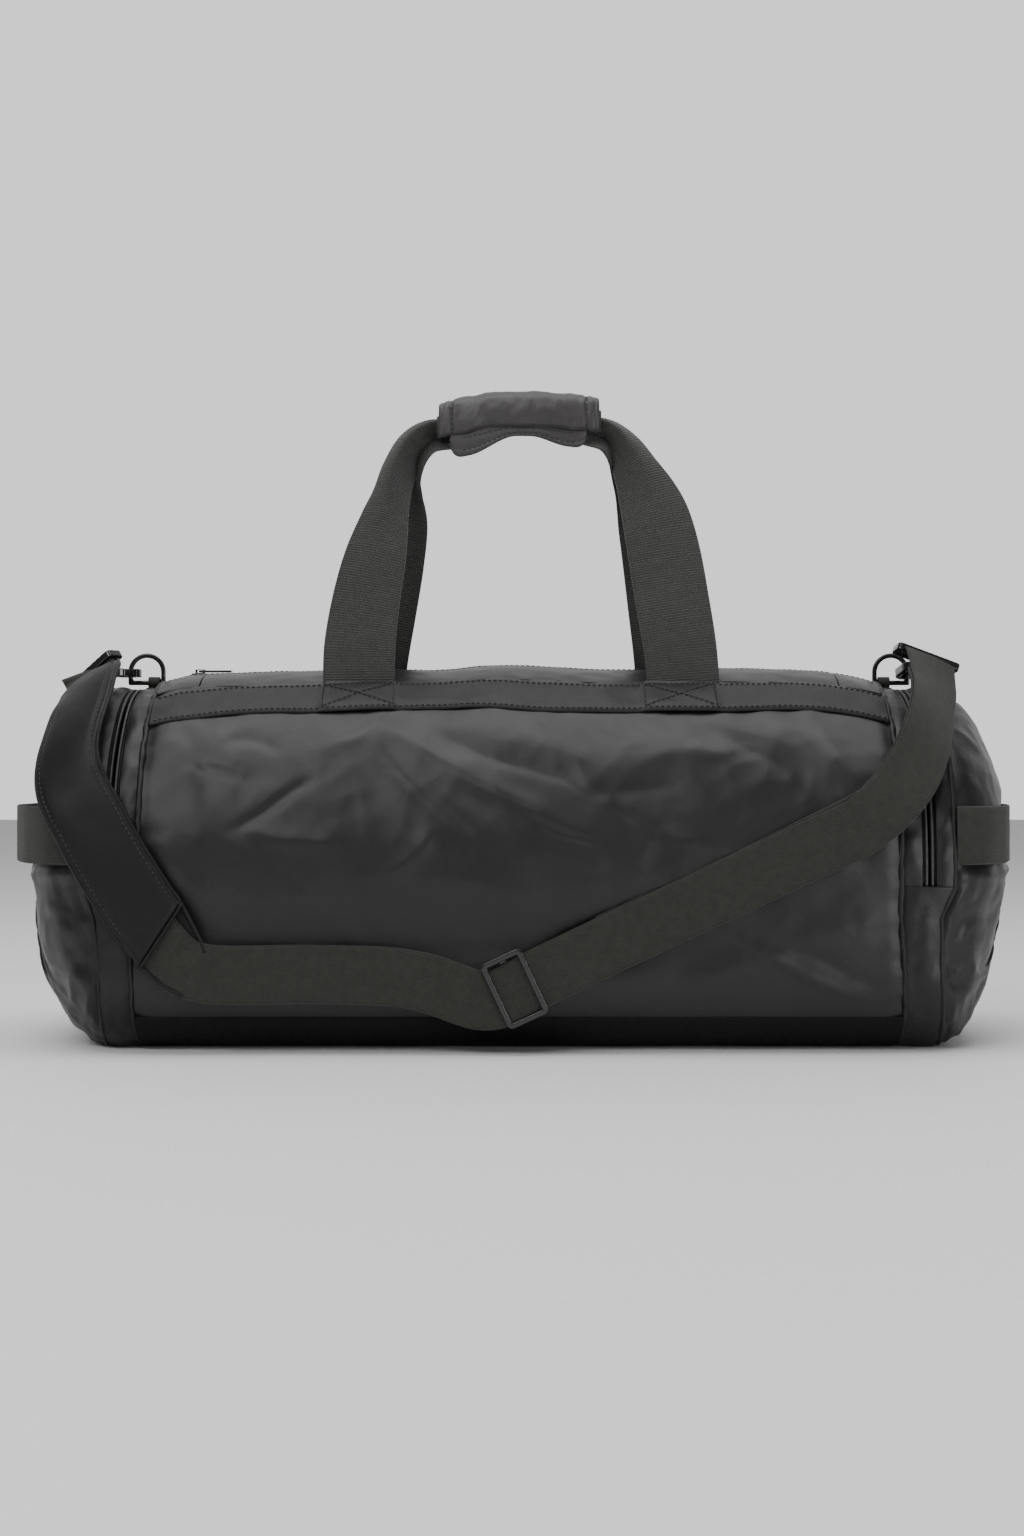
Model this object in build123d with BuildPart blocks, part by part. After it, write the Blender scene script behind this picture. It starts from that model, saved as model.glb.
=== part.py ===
from build123d import *
import os
from math import cos, radians, sin

# A barrel duffel bag that stands on its flat base.  Millimetres; the origin is the middle of the
# base on the floor, +X runs along the bag, -Y is the front and +Z is up.

# --- driving dimensions ---------------------------------------------------------------------
TUBE_HALF = 258.0          # half length of the main compartment
TUBE_RADIUS = 132.0        # half depth of the main compartment, and its top's radius
TUBE_AXIS = 132.0          # height of the top's centre
END_HALF = 348.0           # half length over the end pockets
END_RADIUS = 125.0         # the ends are a little smaller than the middle
END_AXIS = 125.0
BASE_CORNER = 58.0         # radius between the sides and the flat base
DOME_EDGE = 50.0           # rounding of the end pockets' rim
CLOTH = 3.0                # padded body cloth with its lining
BASE_SEAM = 23.0           # height where the heavier base cloth starts
BAND_TOP, BAND_LOW = 26.0, 42.0            # reinforcing bands, degrees from the top
LIP_HINGE, LIP_EDGE = 24.5, 2.9            # the opening's lips, degrees from the top
LIP_HALF = 227.0           # half length of the lips

ZIP_X = 279.0              # plane of the end zips
ZIP_LOW = 113.0            # height where the end zips stop
GUSSET_END = 295.5
COIL_GAP = 0.9             # from a zip's centre line to either coil
MAIN_PARK = 234.0          # the main slider's place at either end of its travel

WEB = 50.0                 # handle webbing
WEB_THICK = 2.5
HANDLE_SPREAD = 113.0      # from the middle to the centre of each handle leg
GRIP_TOP = 466.0
GRIP_HEIGHT = 22.0

STRAP = 40.0               # shoulder strap webbing
STRAP_THICK = 1.6
PAD_WIDTH = 50.0
PAD_THICK = 7.0
RING_AXIS = 256.5          # height of the rings' bars, which the strap swings about
RING_WIRE = 3.5
RING_INNER, RING_OUTER = 261.0, 285.0      # the ring's two sides, from the middle of the bag
HOOK_RISE = 7.0            # the hook's loop above the ring's bar

FAR = 600.0                # larger than the bag, for cutting shapes

os.makedirs("parts", exist_ok=True)


def write(solid, name):
    """Label a finished piece and write it as its own file."""
    solid.label = name
    export_step(solid, f"parts/{name}.step")


def outline(radius, axis, inset=0.0):
    """The bag's cross section: a half circle on upright sides, and a flat base with round corners."""
    side = radius - inset
    corner = BASE_CORNER - inset
    flat = radius - BASE_CORNER
    with BuildSketch() as shape:
        with BuildLine():
            CenterArc((0, axis), side, 0, 180)
            Line((-side, axis), (-side, BASE_CORNER))
            CenterArc((-flat, BASE_CORNER), corner, 180, 90)
            Line((-flat, inset), (flat, inset))
            CenterArc((flat, BASE_CORNER), corner, 270, 90)
            Line((side, BASE_CORNER), (side, axis))
        make_face()
    return shape.sketch


def band(radius, axis, outer, inner):
    """The ring between two insets of the cross section."""
    with BuildSketch() as ring:
        add(outline(radius, axis, outer))
        add(outline(radius, axis, inner), mode=Mode.SUBTRACT)
    return ring.sketch


def on_arc(axis, length, angle, side=-1):
    """A point at an angle from the top, towards the front when side is -1."""
    return (side * length * sin(radians(angle)), axis + length * cos(radians(angle)))


def wedge(axis, start, end, side=-1):
    """The part of the plane between two angles from the top, on one side."""
    with BuildSketch() as slice:
        with BuildLine():
            Polyline(
                (0, axis),
                on_arc(axis, FAR, start, side),
                on_arc(axis, FAR, (start + end) / 2, side),
                on_arc(axis, FAR, end, side),
                (0, axis),
            )
        make_face()
    return slice.sketch


def arc_band(radius, axis, outer, inner, start, end, side=-1):
    """The part of a ring between two angles from the top."""
    with BuildSketch() as shape:
        add(band(radius, axis, outer, inner))
        add(wedge(axis, start, end, side), mode=Mode.INTERSECT)
    return shape.sketch


def strip(name, x_low, x_high, radius, axis, outer, inner, start, end, side=-1):
    """Write a piece of the shell: between two insets and two angles, from x_low to x_high."""
    with BuildPart() as piece:
        with BuildSketch(Plane.YZ.offset(x_low)):
            add(arc_band(radius, axis, outer, inner, start, end, side))
        extrude(amount=x_high - x_low)
    write(piece.part, name)


# --- main compartment -----------------------------------------------------------------------
PANEL_TOP = 27.5           # degrees from the top, under the reinforcing band
TUBE_EDGE = TUBE_HALF - 0.5
FOOT_OUT, FOOT_IN = -1.8, -0.3
FOOT_TOP = 27.4            # degrees from the top
BAND_OUT, BAND_IN = -4.3, -2.3
NOTCH_LOW = 28.4           # degrees from the top, where the band starts below a handle's leg
NOTCH_ROOM = 1.0           # beyond each edge of the leg

for name, side in (("front", -1), ("back", 1)):
    with BuildPart() as panel:
        with BuildSketch(Plane.YZ.offset(-TUBE_EDGE)):
            add(band(TUBE_RADIUS, TUBE_AXIS, 0, CLOTH))
            with BuildLine():
                Polyline(
                    (0, TUBE_AXIS),
                    on_arc(TUBE_AXIS, FAR, PANEL_TOP, side),
                    (side * FAR, TUBE_AXIS),
                    (side * FAR, BASE_SEAM),
                    (0, BASE_SEAM),
                    (0, TUBE_AXIS),
                )
            make_face(mode=Mode.INTERSECT)
        extrude(amount=2 * TUBE_EDGE)
    write(panel.part, f"{name}_panel")

    # The band is sewn over the panel's top edge, with the feet of the handles under it and
    # notches that let the handles fold down.
    with BuildPart() as edging:
        with BuildSketch(Plane.YZ.offset(-TUBE_EDGE)):
            add(arc_band(TUBE_RADIUS, TUBE_AXIS, BAND_OUT, BAND_IN, BAND_TOP, BAND_LOW, side))
        extrude(amount=2 * TUBE_EDGE)
        for x in (-HANDLE_SPREAD, HANDLE_SPREAD):
            with BuildSketch(Plane.YZ.offset(x - WEB / 2 - NOTCH_ROOM)):
                add(wedge(TUBE_AXIS, BAND_TOP - 1, NOTCH_LOW, side))
            extrude(amount=WEB + 2 * NOTCH_ROOM, mode=Mode.SUBTRACT)
    write(edging.part, f"{name}_band")
    with BuildPart() as feet:
        for x in (-HANDLE_SPREAD, HANDLE_SPREAD):
            with BuildSketch(Plane.YZ.offset(x - WEB / 2)):
                add(arc_band(TUBE_RADIUS, TUBE_AXIS, FOOT_OUT, FOOT_IN, FOOT_TOP, BAND_LOW - 1, side))
            extrude(amount=WEB)
    write(feet.part, f"{name}_handle_feet")

with BuildPart() as base_panel:
    with BuildSketch(Plane.YZ.offset(-TUBE_EDGE)):
        add(band(TUBE_RADIUS, TUBE_AXIS, 0, CLOTH))
        with Locations((0, BASE_SEAM - 0.5)):
            Rectangle(FAR, FAR, align=(Align.CENTER, Align.MAX), mode=Mode.INTERSECT)
    extrude(amount=2 * TUBE_EDGE)
write(base_panel.part, "base_panel")

# A stiff board lies loose under the lining and keeps the base flat.
BOARD_THICK = 2.5
with BuildPart() as base_board:
    with BuildSketch(Plane.XY.offset(CLOTH + 0.4)):
        RectangleRounded(2 * (TUBE_EDGE - 8), 2 * (TUBE_RADIUS - BASE_CORNER), 12)
    extrude(amount=BOARD_THICK)
write(base_board.part, "base_board")

LINING_OUT, LINING_IN = 6.6, 7.4
with BuildPart() as main_lining:
    with BuildSketch(Plane.YZ.offset(-TUBE_EDGE + 6)):
        add(band(TUBE_RADIUS, TUBE_AXIS, LINING_OUT, LINING_IN))
        add(wedge(TUBE_AXIS, -PANEL_TOP, PANEL_TOP), mode=Mode.SUBTRACT)
    extrude(amount=2 * (TUBE_EDGE - 6))
write(main_lining.part, "main_lining")

# --- the opening: two lips that fold in, fixed ends, and the main zip -------------------------
TAPE_OUT, TAPE_IN = 3.4, 4.6
TAPE_FAR = 7.5             # degrees from the top, where the tape's sewn edge lies
TAPE_NEAR = 1.6
COIL = 2.6                 # coil diameter
COIL_Y = COIL_GAP + COIL / 2
COIL_Z = TUBE_AXIS + TUBE_RADIUS - TAPE_OUT - 0.6

for name, side in (("front", -1), ("back", 1)):
    strip(f"{name}_lip", -LIP_HALF, LIP_HALF, TUBE_RADIUS, TUBE_AXIS, 0, CLOTH,
          LIP_EDGE, LIP_HINGE, side)
    with BuildPart() as lip_zip:
        with BuildSketch(Plane.YZ.offset(-LIP_HALF)):
            add(arc_band(TUBE_RADIUS, TUBE_AXIS, TAPE_OUT, TAPE_IN, TAPE_NEAR, TAPE_FAR, side))
            with Locations((side * COIL_Y, COIL_Z)):
                Circle(COIL / 2)
        extrude(amount=2 * LIP_HALF)
    write(lip_zip.part, f"{name}_lip_zip")

with BuildPart() as opening_ends:
    for x in (-TUBE_EDGE, LIP_HALF + 1):
        for side in (-1, 1):
            with BuildSketch(Plane.YZ.offset(x)):
                add(arc_band(TUBE_RADIUS, TUBE_AXIS, 0, CLOTH, LIP_EDGE, LIP_HINGE, side))
            extrude(amount=TUBE_EDGE - LIP_HALF - 1)
write(opening_ends.part, "opening_ends")

with BuildPart() as opening_end_zip:
    for x in (-TUBE_EDGE, LIP_HALF + 1):
        for side in (-1, 1):
            with BuildSketch(Plane.YZ.offset(x)):
                add(arc_band(TUBE_RADIUS, TUBE_AXIS, TAPE_OUT, TAPE_IN, TAPE_NEAR, TAPE_FAR, side))
                with Locations((side * COIL_Y, COIL_Z)):
                    Circle(COIL / 2)
            extrude(amount=TUBE_EDGE - LIP_HALF - 1)
write(opening_end_zip.part, "opening_end_zip")

PLATE = 1.6                # thickness of the slider's two plates
POST = 0.8                 # the wedge between them, which runs between the coils
SLIDER_LONG = 12.0
SLIDER_WIDE = 9.0
PLATE_TOP = COIL_Z + COIL / 2 + 0.5
PLATE_LOW = COIL_Z - COIL / 2 - 0.5
CROWN = 3.0                # height of the bridge that holds the puller
PIN_Z = PLATE_TOP + PLATE + CROWN / 2
with BuildPart() as main_zip_slider:
    with Locations((-MAIN_PARK, 0, PLATE_TOP), (-MAIN_PARK, 0, PLATE_LOW - PLATE)):
        Box(SLIDER_LONG, SLIDER_WIDE, PLATE, align=(Align.CENTER, Align.CENTER, Align.MIN))
    fillet(main_zip_slider.edges().filter_by(Axis.Z), 2)
    with Locations((-MAIN_PARK, 0, PLATE_LOW)):
        Box(SLIDER_LONG - 6, POST, PLATE_TOP - PLATE_LOW, align=(Align.CENTER, Align.CENTER, Align.MIN))
    with Locations((-MAIN_PARK, 0, PLATE_TOP + PLATE)):
        Box(7, 2.2, CROWN, align=(Align.CENTER, Align.CENTER, Align.MIN))
    with Locations((-MAIN_PARK, 0, PIN_Z)):
        Box(4, 4, CROWN - 1, mode=Mode.SUBTRACT)
write(main_zip_slider.part, "main_zip_slider")

PULL_LONG, PULL_WIDE, PULL_THICK = 24.0, 7.0, 1.4
with BuildPart() as main_zip_puller:
    with BuildSketch(Plane.XY.offset(PIN_Z - PULL_THICK / 2)):
        with Locations((-MAIN_PARK - PULL_THICK / 2, 0)):
            Rectangle(PULL_LONG, PULL_WIDE, align=(Align.MIN, Align.CENTER))
        with Locations((-MAIN_PARK + PULL_THICK / 2, 0)):
            Rectangle(6, 3.6, align=(Align.MIN, Align.CENTER), mode=Mode.SUBTRACT)
        with Locations((-MAIN_PARK + PULL_LONG - 5, 0)):
            SlotCenterToCenter(3, 2.4, mode=Mode.SUBTRACT)
    extrude(amount=PULL_THICK)
write(main_zip_puller.part, "main_zip_puller")

# --- the ends, made the same on both sides -----------------------------------------------------
STRIP_IN = ZIP_X - 4.2     # the gusset's cloth stops this far from the middle, short of the zip
STRIP_OUT = ZIP_X + 4.2
END_TAPE_OUT, END_TAPE_IN = 1.2, 2.2
END_COIL_OUT, END_COIL_IN = -1.4, 0.9
END_PLATE_OUT, END_PLATE_IN = -3.4, -2.0
UNDER_PLATE_OUT, UNDER_PLATE_IN = 2.6, 3.8
SLIDER_ARC = 5.0           # degrees of arc that an end slider covers
END_PARK = 86.0            # degrees from the top, at the back
PULL_ARC = 6.5
SPLIT_Z = 147.5            # where the end's upper panel meets its pocket
WALL_X = TUBE_HALF - 3.0
WALL_NOTCH = 20.0          # leaves room for the main zip's end over the wall
GRAB_LOW, GRAB_WIDE = 128.0, 40.0


def span(sign, near, far):
    """The plane and the length that extrude from near to far from the middle, on one side."""
    return Plane.YZ.offset(sign * near if sign > 0 else sign * far), far - near


def between(low, high):
    """The part of the plane between two heights."""
    with BuildSketch() as slab:
        with Locations((0, (low + high) / 2)):
            Rectangle(FAR, high - low)
    return slab.sketch


def end_strip(name, sign, near, far, outer, inner, upper=True):
    plane, length = span(sign, near, far)
    with BuildPart() as piece:
        with BuildSketch(plane):
            add(band(END_RADIUS, END_AXIS, outer, inner))
            if upper:
                add(between(ZIP_LOW + 0.5, FAR), mode=Mode.INTERSECT)
            else:
                add(between(-FAR, ZIP_LOW), mode=Mode.INTERSECT)
        extrude(amount=length)
    write(piece.part, name)


def dome(sign, inset):
    """A solid end: the smaller cross section with its outer rim rounded."""
    plane, length = span(sign, GUSSET_END + 1.5, END_HALF - inset)
    with BuildPart() as solid:
        with BuildSketch(plane):
            add(outline(END_RADIUS, END_AXIS, inset))
        extrude(amount=length)
        rim = solid.faces().sort_by(Axis.X)[-1 if sign > 0 else 0]
        fillet(rim.edges(), DOME_EDGE - inset)
    return solid.part


for end, sign in (("left", -1), ("right", 1)):
    plane, length = span(sign, WALL_X, WALL_X + 2)
    with BuildPart() as end_wall:
        with BuildSketch(plane):
            add(outline(TUBE_RADIUS, TUBE_AXIS, CLOTH + 0.5))
            with Locations((0, TUBE_AXIS + TUBE_RADIUS - CLOTH)):
                Rectangle(2 * WALL_NOTCH, WALL_NOTCH, mode=Mode.SUBTRACT)
        extrude(amount=length)
    write(end_wall.part, f"{end}_end_wall")

    end_strip(f"{end}_gusset_inner", sign, TUBE_HALF + 0.5, STRIP_IN, 0, CLOTH)
    end_strip(f"{end}_gusset_outer", sign, STRIP_OUT, GUSSET_END, 0, CLOTH)
    end_strip(f"{end}_gusset_lower", sign, TUBE_HALF + 0.5, GUSSET_END, 0, CLOTH, upper=False)

    with BuildPart() as piping:
        plane, length = span(sign, GUSSET_END, GUSSET_END + 1.5)
        with BuildSketch(plane):
            add(band(END_RADIUS, END_AXIS, -1.6, CLOTH))
            add(between(0, FAR), mode=Mode.INTERSECT)
        extrude(amount=length)
    write(piping.part, f"{end}_piping")

    with BuildPart() as end_zip:
        for near, far, outer, inner in (
            (ZIP_X - 4, ZIP_X - COIL_GAP, END_TAPE_OUT, END_TAPE_IN),
            (ZIP_X + COIL_GAP, ZIP_X + 4, END_TAPE_OUT, END_TAPE_IN),
            (ZIP_X - 3.1, ZIP_X - COIL_GAP, END_COIL_OUT, END_COIL_IN),
            (ZIP_X + COIL_GAP, ZIP_X + 3.1, END_COIL_OUT, END_COIL_IN),
        ):
            plane, length = span(sign, near, far)
            with BuildSketch(plane):
                add(band(END_RADIUS, END_AXIS, outer, inner))
                add(between(ZIP_LOW + 0.5, FAR), mode=Mode.INTERSECT)
            extrude(amount=length)
    write(end_zip.part, f"{end}_end_zip")

    # Small tabs of cloth close the two ends of the arch.
    with BuildPart() as tabs:
        plane, length = span(sign, ZIP_X - 8, ZIP_X + 8)
        with BuildSketch(plane):
            add(band(END_RADIUS, END_AXIS, -3.0, -0.3))
            add(between(ZIP_LOW - 15, ZIP_LOW - 1), mode=Mode.INTERSECT)
        extrude(amount=length)
    write(tabs.part, f"{end}_zip_tabs")

    with BuildPart() as slider:
        for near, far, outer, inner in (
            (ZIP_X - 3.9, ZIP_X + 3.9, END_PLATE_OUT, END_PLATE_IN),
            (ZIP_X - 3.9, ZIP_X + 3.9, UNDER_PLATE_OUT, UNDER_PLATE_IN),
            (ZIP_X - POST / 2, ZIP_X + POST / 2, END_PLATE_IN, UNDER_PLATE_OUT),
        ):
            plane, length = span(sign, near, far)
            with BuildSketch(plane):
                add(arc_band(END_RADIUS, END_AXIS, outer, inner,
                             END_PARK - SLIDER_ARC / 2, END_PARK + SLIDER_ARC / 2, side=1))
            extrude(amount=length)
    write(slider.part, f"{end}_end_slider")

    with BuildPart() as puller:
        plane, length = span(sign, ZIP_X - 2.8, ZIP_X + 2.8)
        with BuildSketch(plane):
            add(arc_band(END_RADIUS, END_AXIS, END_PLATE_OUT, END_PLATE_IN - 0.2,
                         END_PARK + SLIDER_ARC / 2 + 0.3, END_PARK + SLIDER_ARC / 2 + PULL_ARC, side=1))
        extrude(amount=length)
    write(puller.part, f"{end}_end_puller")

    with BuildPart() as end_upper:
        add(dome(sign, 0))
        add(dome(sign, CLOTH), mode=Mode.SUBTRACT)
        split(bisect_by=Plane.XY.offset(SPLIT_Z + 0.3), keep=Keep.TOP)
    write(end_upper.part, f"{end}_end_upper")
    with BuildPart() as end_pocket:
        add(dome(sign, 0))
        add(dome(sign, CLOTH), mode=Mode.SUBTRACT)
        split(bisect_by=Plane.XY.offset(SPLIT_Z - 0.3), keep=Keep.BOTTOM)
    write(end_pocket.part, f"{end}_end_pocket")

    # The side grab handle: webbing sewn at the piping, loose over the end.
    reach = END_HALF + (11.0 if end == "left" else 2.4)
    near_y = END_RADIUS + 2.5
    with BuildPart() as grab:
        with BuildSketch(Plane.XY.offset(GRAB_LOW)):
            with BuildLine():
                FilletPolyline(
                    (sign * (GUSSET_END + 2), -near_y),
                    (sign * (END_HALF + 2.4), -near_y),
                    (sign * (reach + 0.2), 0),
                    (sign * (END_HALF + 2.4), near_y),
                    (sign * (GUSSET_END + 2), near_y),
                    radius=DOME_EDGE + 2.0,
                )
            trace(line_width=1.8)
        extrude(amount=GRAB_WIDE)
    write(grab.part, f"{end}_grab_handle")


# --- rings, their tabs and the snap hooks --------------------------------------------------------
RING_SIDE = 8.0            # straight part of the ring's sides above its bar
RING_MIDDLE = (RING_INNER + RING_OUTER) / 2
RING_HALF = (RING_OUTER - RING_INNER) / 2
TAB_NEAR, TAB_WIDE = 263.3, 8.5
TAB_HOLE = 2.7
TAB_FOOT_Z = END_AXIS + END_RADIUS + 0.6

HOOK_THICK = 6.0
HOOK_WIRE = 4.0
HOOK_SLOT = 11.0           # inner width of the hook's loop
HOOK_BACK, HOOK_FRONT = -3.2, 20.0         # inner ends of the loop, along the hook
GATE_START, GATE_END = 4.5, 17.5
NECK_END = 29.0
EYE_START, EYE_LONG, EYE_BAR = 30.0, 15.0, 4.0
EYE_WINDOW = STRAP + 1.0
PIN_RADIUS = 2.0

HOOKS = {
    "left": (Vector(-0.55, -0.83, 0.0), Vector(-0.45, 0.30, 0.84)),
    "right": (Vector(0.20, -0.95, 0.24), Vector(0.35, -0.15, 0.92)),
}


def square_to(vector, axis):
    """The part of a vector that is square to an axis, as a unit vector."""
    return (vector - axis * vector.dot(axis)).normalized()


def ring_shape(half, bottom, middle):
    """A D lying on its straight side."""
    with BuildSketch() as shape:
        with Locations((middle, bottom)):
            Rectangle(2 * half, RING_AXIS + RING_SIDE - bottom, align=(Align.CENTER, Align.MIN))
        with Locations((middle, RING_AXIS + RING_SIDE)):
            Circle(half)
        add(between(bottom, FAR), mode=Mode.INTERSECT)
    return shape.sketch


for end, sign in (("left", -1), ("right", 1)):
    with BuildPart() as ring:
        with BuildSketch(Plane.XZ):
            add(ring_shape(RING_HALF + RING_WIRE / 2, RING_AXIS - RING_WIRE / 2, sign * RING_MIDDLE))
            add(ring_shape(RING_HALF - RING_WIRE / 2, RING_AXIS + RING_WIRE / 2, sign * RING_MIDDLE),
                mode=Mode.SUBTRACT)
        extrude(amount=RING_WIRE / 2, both=True)
        fillet(ring.edges(), 1.2)
    write(ring.part, f"{end}_ring")

    with BuildPart() as ring_tab:
        plane, length = span(sign, TAB_NEAR, TAB_NEAR + TAB_WIDE)
        with BuildSketch(plane):
            with Locations((0, RING_AXIS)):
                Circle(TAB_HOLE + 1.7)
            with Locations((0, TAB_FOOT_Z)):
                Rectangle(26, 1.8, align=(Align.CENTER, Align.MIN))
                Rectangle(6, RING_AXIS - TAB_FOOT_Z, align=(Align.CENTER, Align.MIN))
            with Locations((0, RING_AXIS)):
                Circle(TAB_HOLE, mode=Mode.SUBTRACT)
        extrude(amount=length)
    write(ring_tab.part, f"{end}_ring_tab")

    along, face = HOOKS[end]
    along = along.normalized()
    up = square_to(Vector(0, 0, 1), along)
    catch = Vector(sign * RING_OUTER, 0, RING_AXIS + HOOK_RISE)
    flat = Plane(origin=catch, x_dir=along, z_dir=up)
    with BuildPart() as hook:
        with BuildSketch(flat):
            with Locations(((HOOK_BACK + HOOK_FRONT) / 2, 0)):
                SlotOverall(HOOK_FRONT - HOOK_BACK + 2 * HOOK_WIRE, HOOK_SLOT + 2 * HOOK_WIRE)
                SlotOverall(HOOK_FRONT - HOOK_BACK, HOOK_SLOT, mode=Mode.SUBTRACT)
            with Locations(((GATE_START + GATE_END) / 2, HOOK_SLOT / 2 + HOOK_WIRE)):
                Rectangle(GATE_END - GATE_START, 2 * HOOK_WIRE + 2, mode=Mode.SUBTRACT)
        extrude(amount=HOOK_THICK / 2, both=True)
        with BuildSketch(Plane(origin=catch + along * (HOOK_FRONT + 1), x_dir=up, z_dir=along)):
            Circle(4.5)
        extrude(amount=NECK_END - HOOK_FRONT - 1)
        with BuildSketch(Plane(origin=catch + along * NECK_END, x_dir=up, z_dir=along)):
            Circle(PIN_RADIUS)
        extrude(amount=4.5)
    write(hook.part, f"{end}_hook")

    with BuildPart() as gate:
        with BuildSketch(flat):
            with Locations(((GATE_START + GATE_END) / 2, (HOOK_SLOT + HOOK_WIRE) / 2)):
                SlotOverall(GATE_END - GATE_START - 0.8, 3.4)
        extrude(amount=HOOK_THICK / 2 - 0.4, both=True)
    write(gate.part, f"{end}_hook_gate")

    outward = square_to(face, along)
    across = along.cross(outward)
    with BuildPart() as eye:
        with BuildSketch(Plane(origin=catch + along * EYE_START, x_dir=across, z_dir=across.cross(along))):
            with Locations((0, EYE_LONG / 2)):
                RectangleRounded(EYE_WINDOW + 7, EYE_LONG, 3)
                Rectangle(EYE_WINDOW, EYE_LONG - 2 * EYE_BAR, mode=Mode.SUBTRACT)
        extrude(amount=2.6, both=True)
        with BuildSketch(Plane(origin=catch + along * (EYE_START - 1), x_dir=up, z_dir=along)):
            Circle(PIN_RADIUS + 0.35)
        extrude(amount=EYE_BAR + 1.5, mode=Mode.SUBTRACT)
    write(eye.part, f"{end}_strap_loop")

# --- carry handles --------------------------------------------------------------------------------
HINGE_Y, HINGE_Z = on_arc(TUBE_AXIS, TUBE_RADIUS + 1.0, BAND_TOP - 0.5)
GRIP_Y = 6.5               # half the distance between the two grips
GRIP_Z = GRIP_TOP - GRIP_HEIGHT / 2
GRIP_HALF = 60.0
GRIP_THICK = 5.0
LEG_SIDES = (
    ((138, 2), (133, 62), (121, 106), (102, 150), (88, 180), (70, 206)),
    ((62, 188), (69, 165), (75, 106), (83, 62), (88, 2)),
)

for name, side in (("front", -1), ("back", 1)):
    rise = Vector(0, -side * (abs(HINGE_Y) - GRIP_Y), GRIP_Z - HINGE_Z)
    lean = rise.normalized()
    sheet = Plane(origin=(0, side * abs(HINGE_Y), HINGE_Z), x_dir=(1, 0, 0), z_dir=Vector(1, 0, 0).cross(lean))
    grip_low, grip_high = rise.length - GRIP_HEIGHT / 2, rise.length + GRIP_HEIGHT / 2
    with BuildPart() as handle:
        with BuildSketch(sheet):
            with BuildLine():
                outer, inner = LEG_SIDES
                Polyline(
                    *[(-x, s) for x, s in outer],
                    (-GRIP_HALF, grip_high),
                    (-GRIP_HALF, grip_low),
                    *[(-x, s) for x, s in inner],
                    close=True,
                )
            make_face()
            mirror(about=Plane.YZ)
        extrude(amount=WEB_THICK / 2, both=True)
        with BuildSketch(sheet):
            with Locations((0, rise.length)):
                Rectangle(2 * GRIP_HALF, GRIP_HEIGHT)
        extrude(amount=GRIP_THICK / 2, both=True)
    write(handle.part, f"{name}_handle")

# The padded wrap is sewn to the front handle and open behind, so that the back handle swings free.
WRAP_HALF = 58.5
WRAP_THICK = 3.5
WRAP_FRONT = -15.75
WRAP_LOW, WRAP_TOP = 441.0, 471.75
WRAP_REACH = 14.0
FLAP_LONG, FLAP_HALF = 14.0, 52.0
FLAP_GAP = 2.7             # room for the flap to turn under the wrap's lower edge
with BuildPart() as handle_wrap:
    with BuildSketch(Plane.YZ.offset(-WRAP_HALF)):
        with BuildLine():
            FilletPolyline((WRAP_FRONT, WRAP_LOW), (WRAP_FRONT, WRAP_TOP), (WRAP_REACH, WRAP_TOP), radius=9)
        trace(line_width=WRAP_THICK)
    extrude(amount=2 * WRAP_HALF)
write(handle_wrap.part, "handle_wrap")

with BuildPart() as wrap_flap:
    with BuildSketch(Plane.XZ.offset(-WRAP_FRONT)):
        with Locations((0, WRAP_LOW - FLAP_GAP - FLAP_LONG / 2)):
            Rectangle(2 * FLAP_HALF, FLAP_LONG)
    extrude(amount=1.5, both=True)
write(wrap_flap.part, "wrap_flap")

# --- shoulder strap -----------------------------------------------------------------------------
FRONT_Y = -(TUBE_RADIUS + 4.8)             # the strap's centre over the flat part of the front


def ribbon(stations, width, thickness, first, last):
    """A strip through stations of a point and an outward normal, with its two end directions."""
    points = [Vector(*point) for point, _ in stations]
    with BuildPart() as piece:
        for i, (point, normal) in enumerate(stations):
            if i == 0:
                heading = Vector(*first).normalized()
            elif i == len(stations) - 1:
                heading = Vector(*last).normalized()
            else:
                heading = (points[i + 1] - points[i - 1]).normalized()
            outward = square_to(Vector(*normal), heading)
            with BuildSketch(Plane(origin=point, x_dir=outward.cross(heading), z_dir=heading)):
                Rectangle(width, thickness)
        loft(ruled=True)
    return piece.part


KNEE = Vector(-26, FRONT_Y, 34.5)          # where the strap turns up to the right
BEND = Vector(243, FRONT_Y, 160)           # where it starts to wrap round the right end
STRAIGHT = (BEND - KNEE).normalized()
RETURN_START = 95.0                        # from the knee to the second layer's end
LAYER = 1.9                                # from one layer's middle to the next

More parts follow.
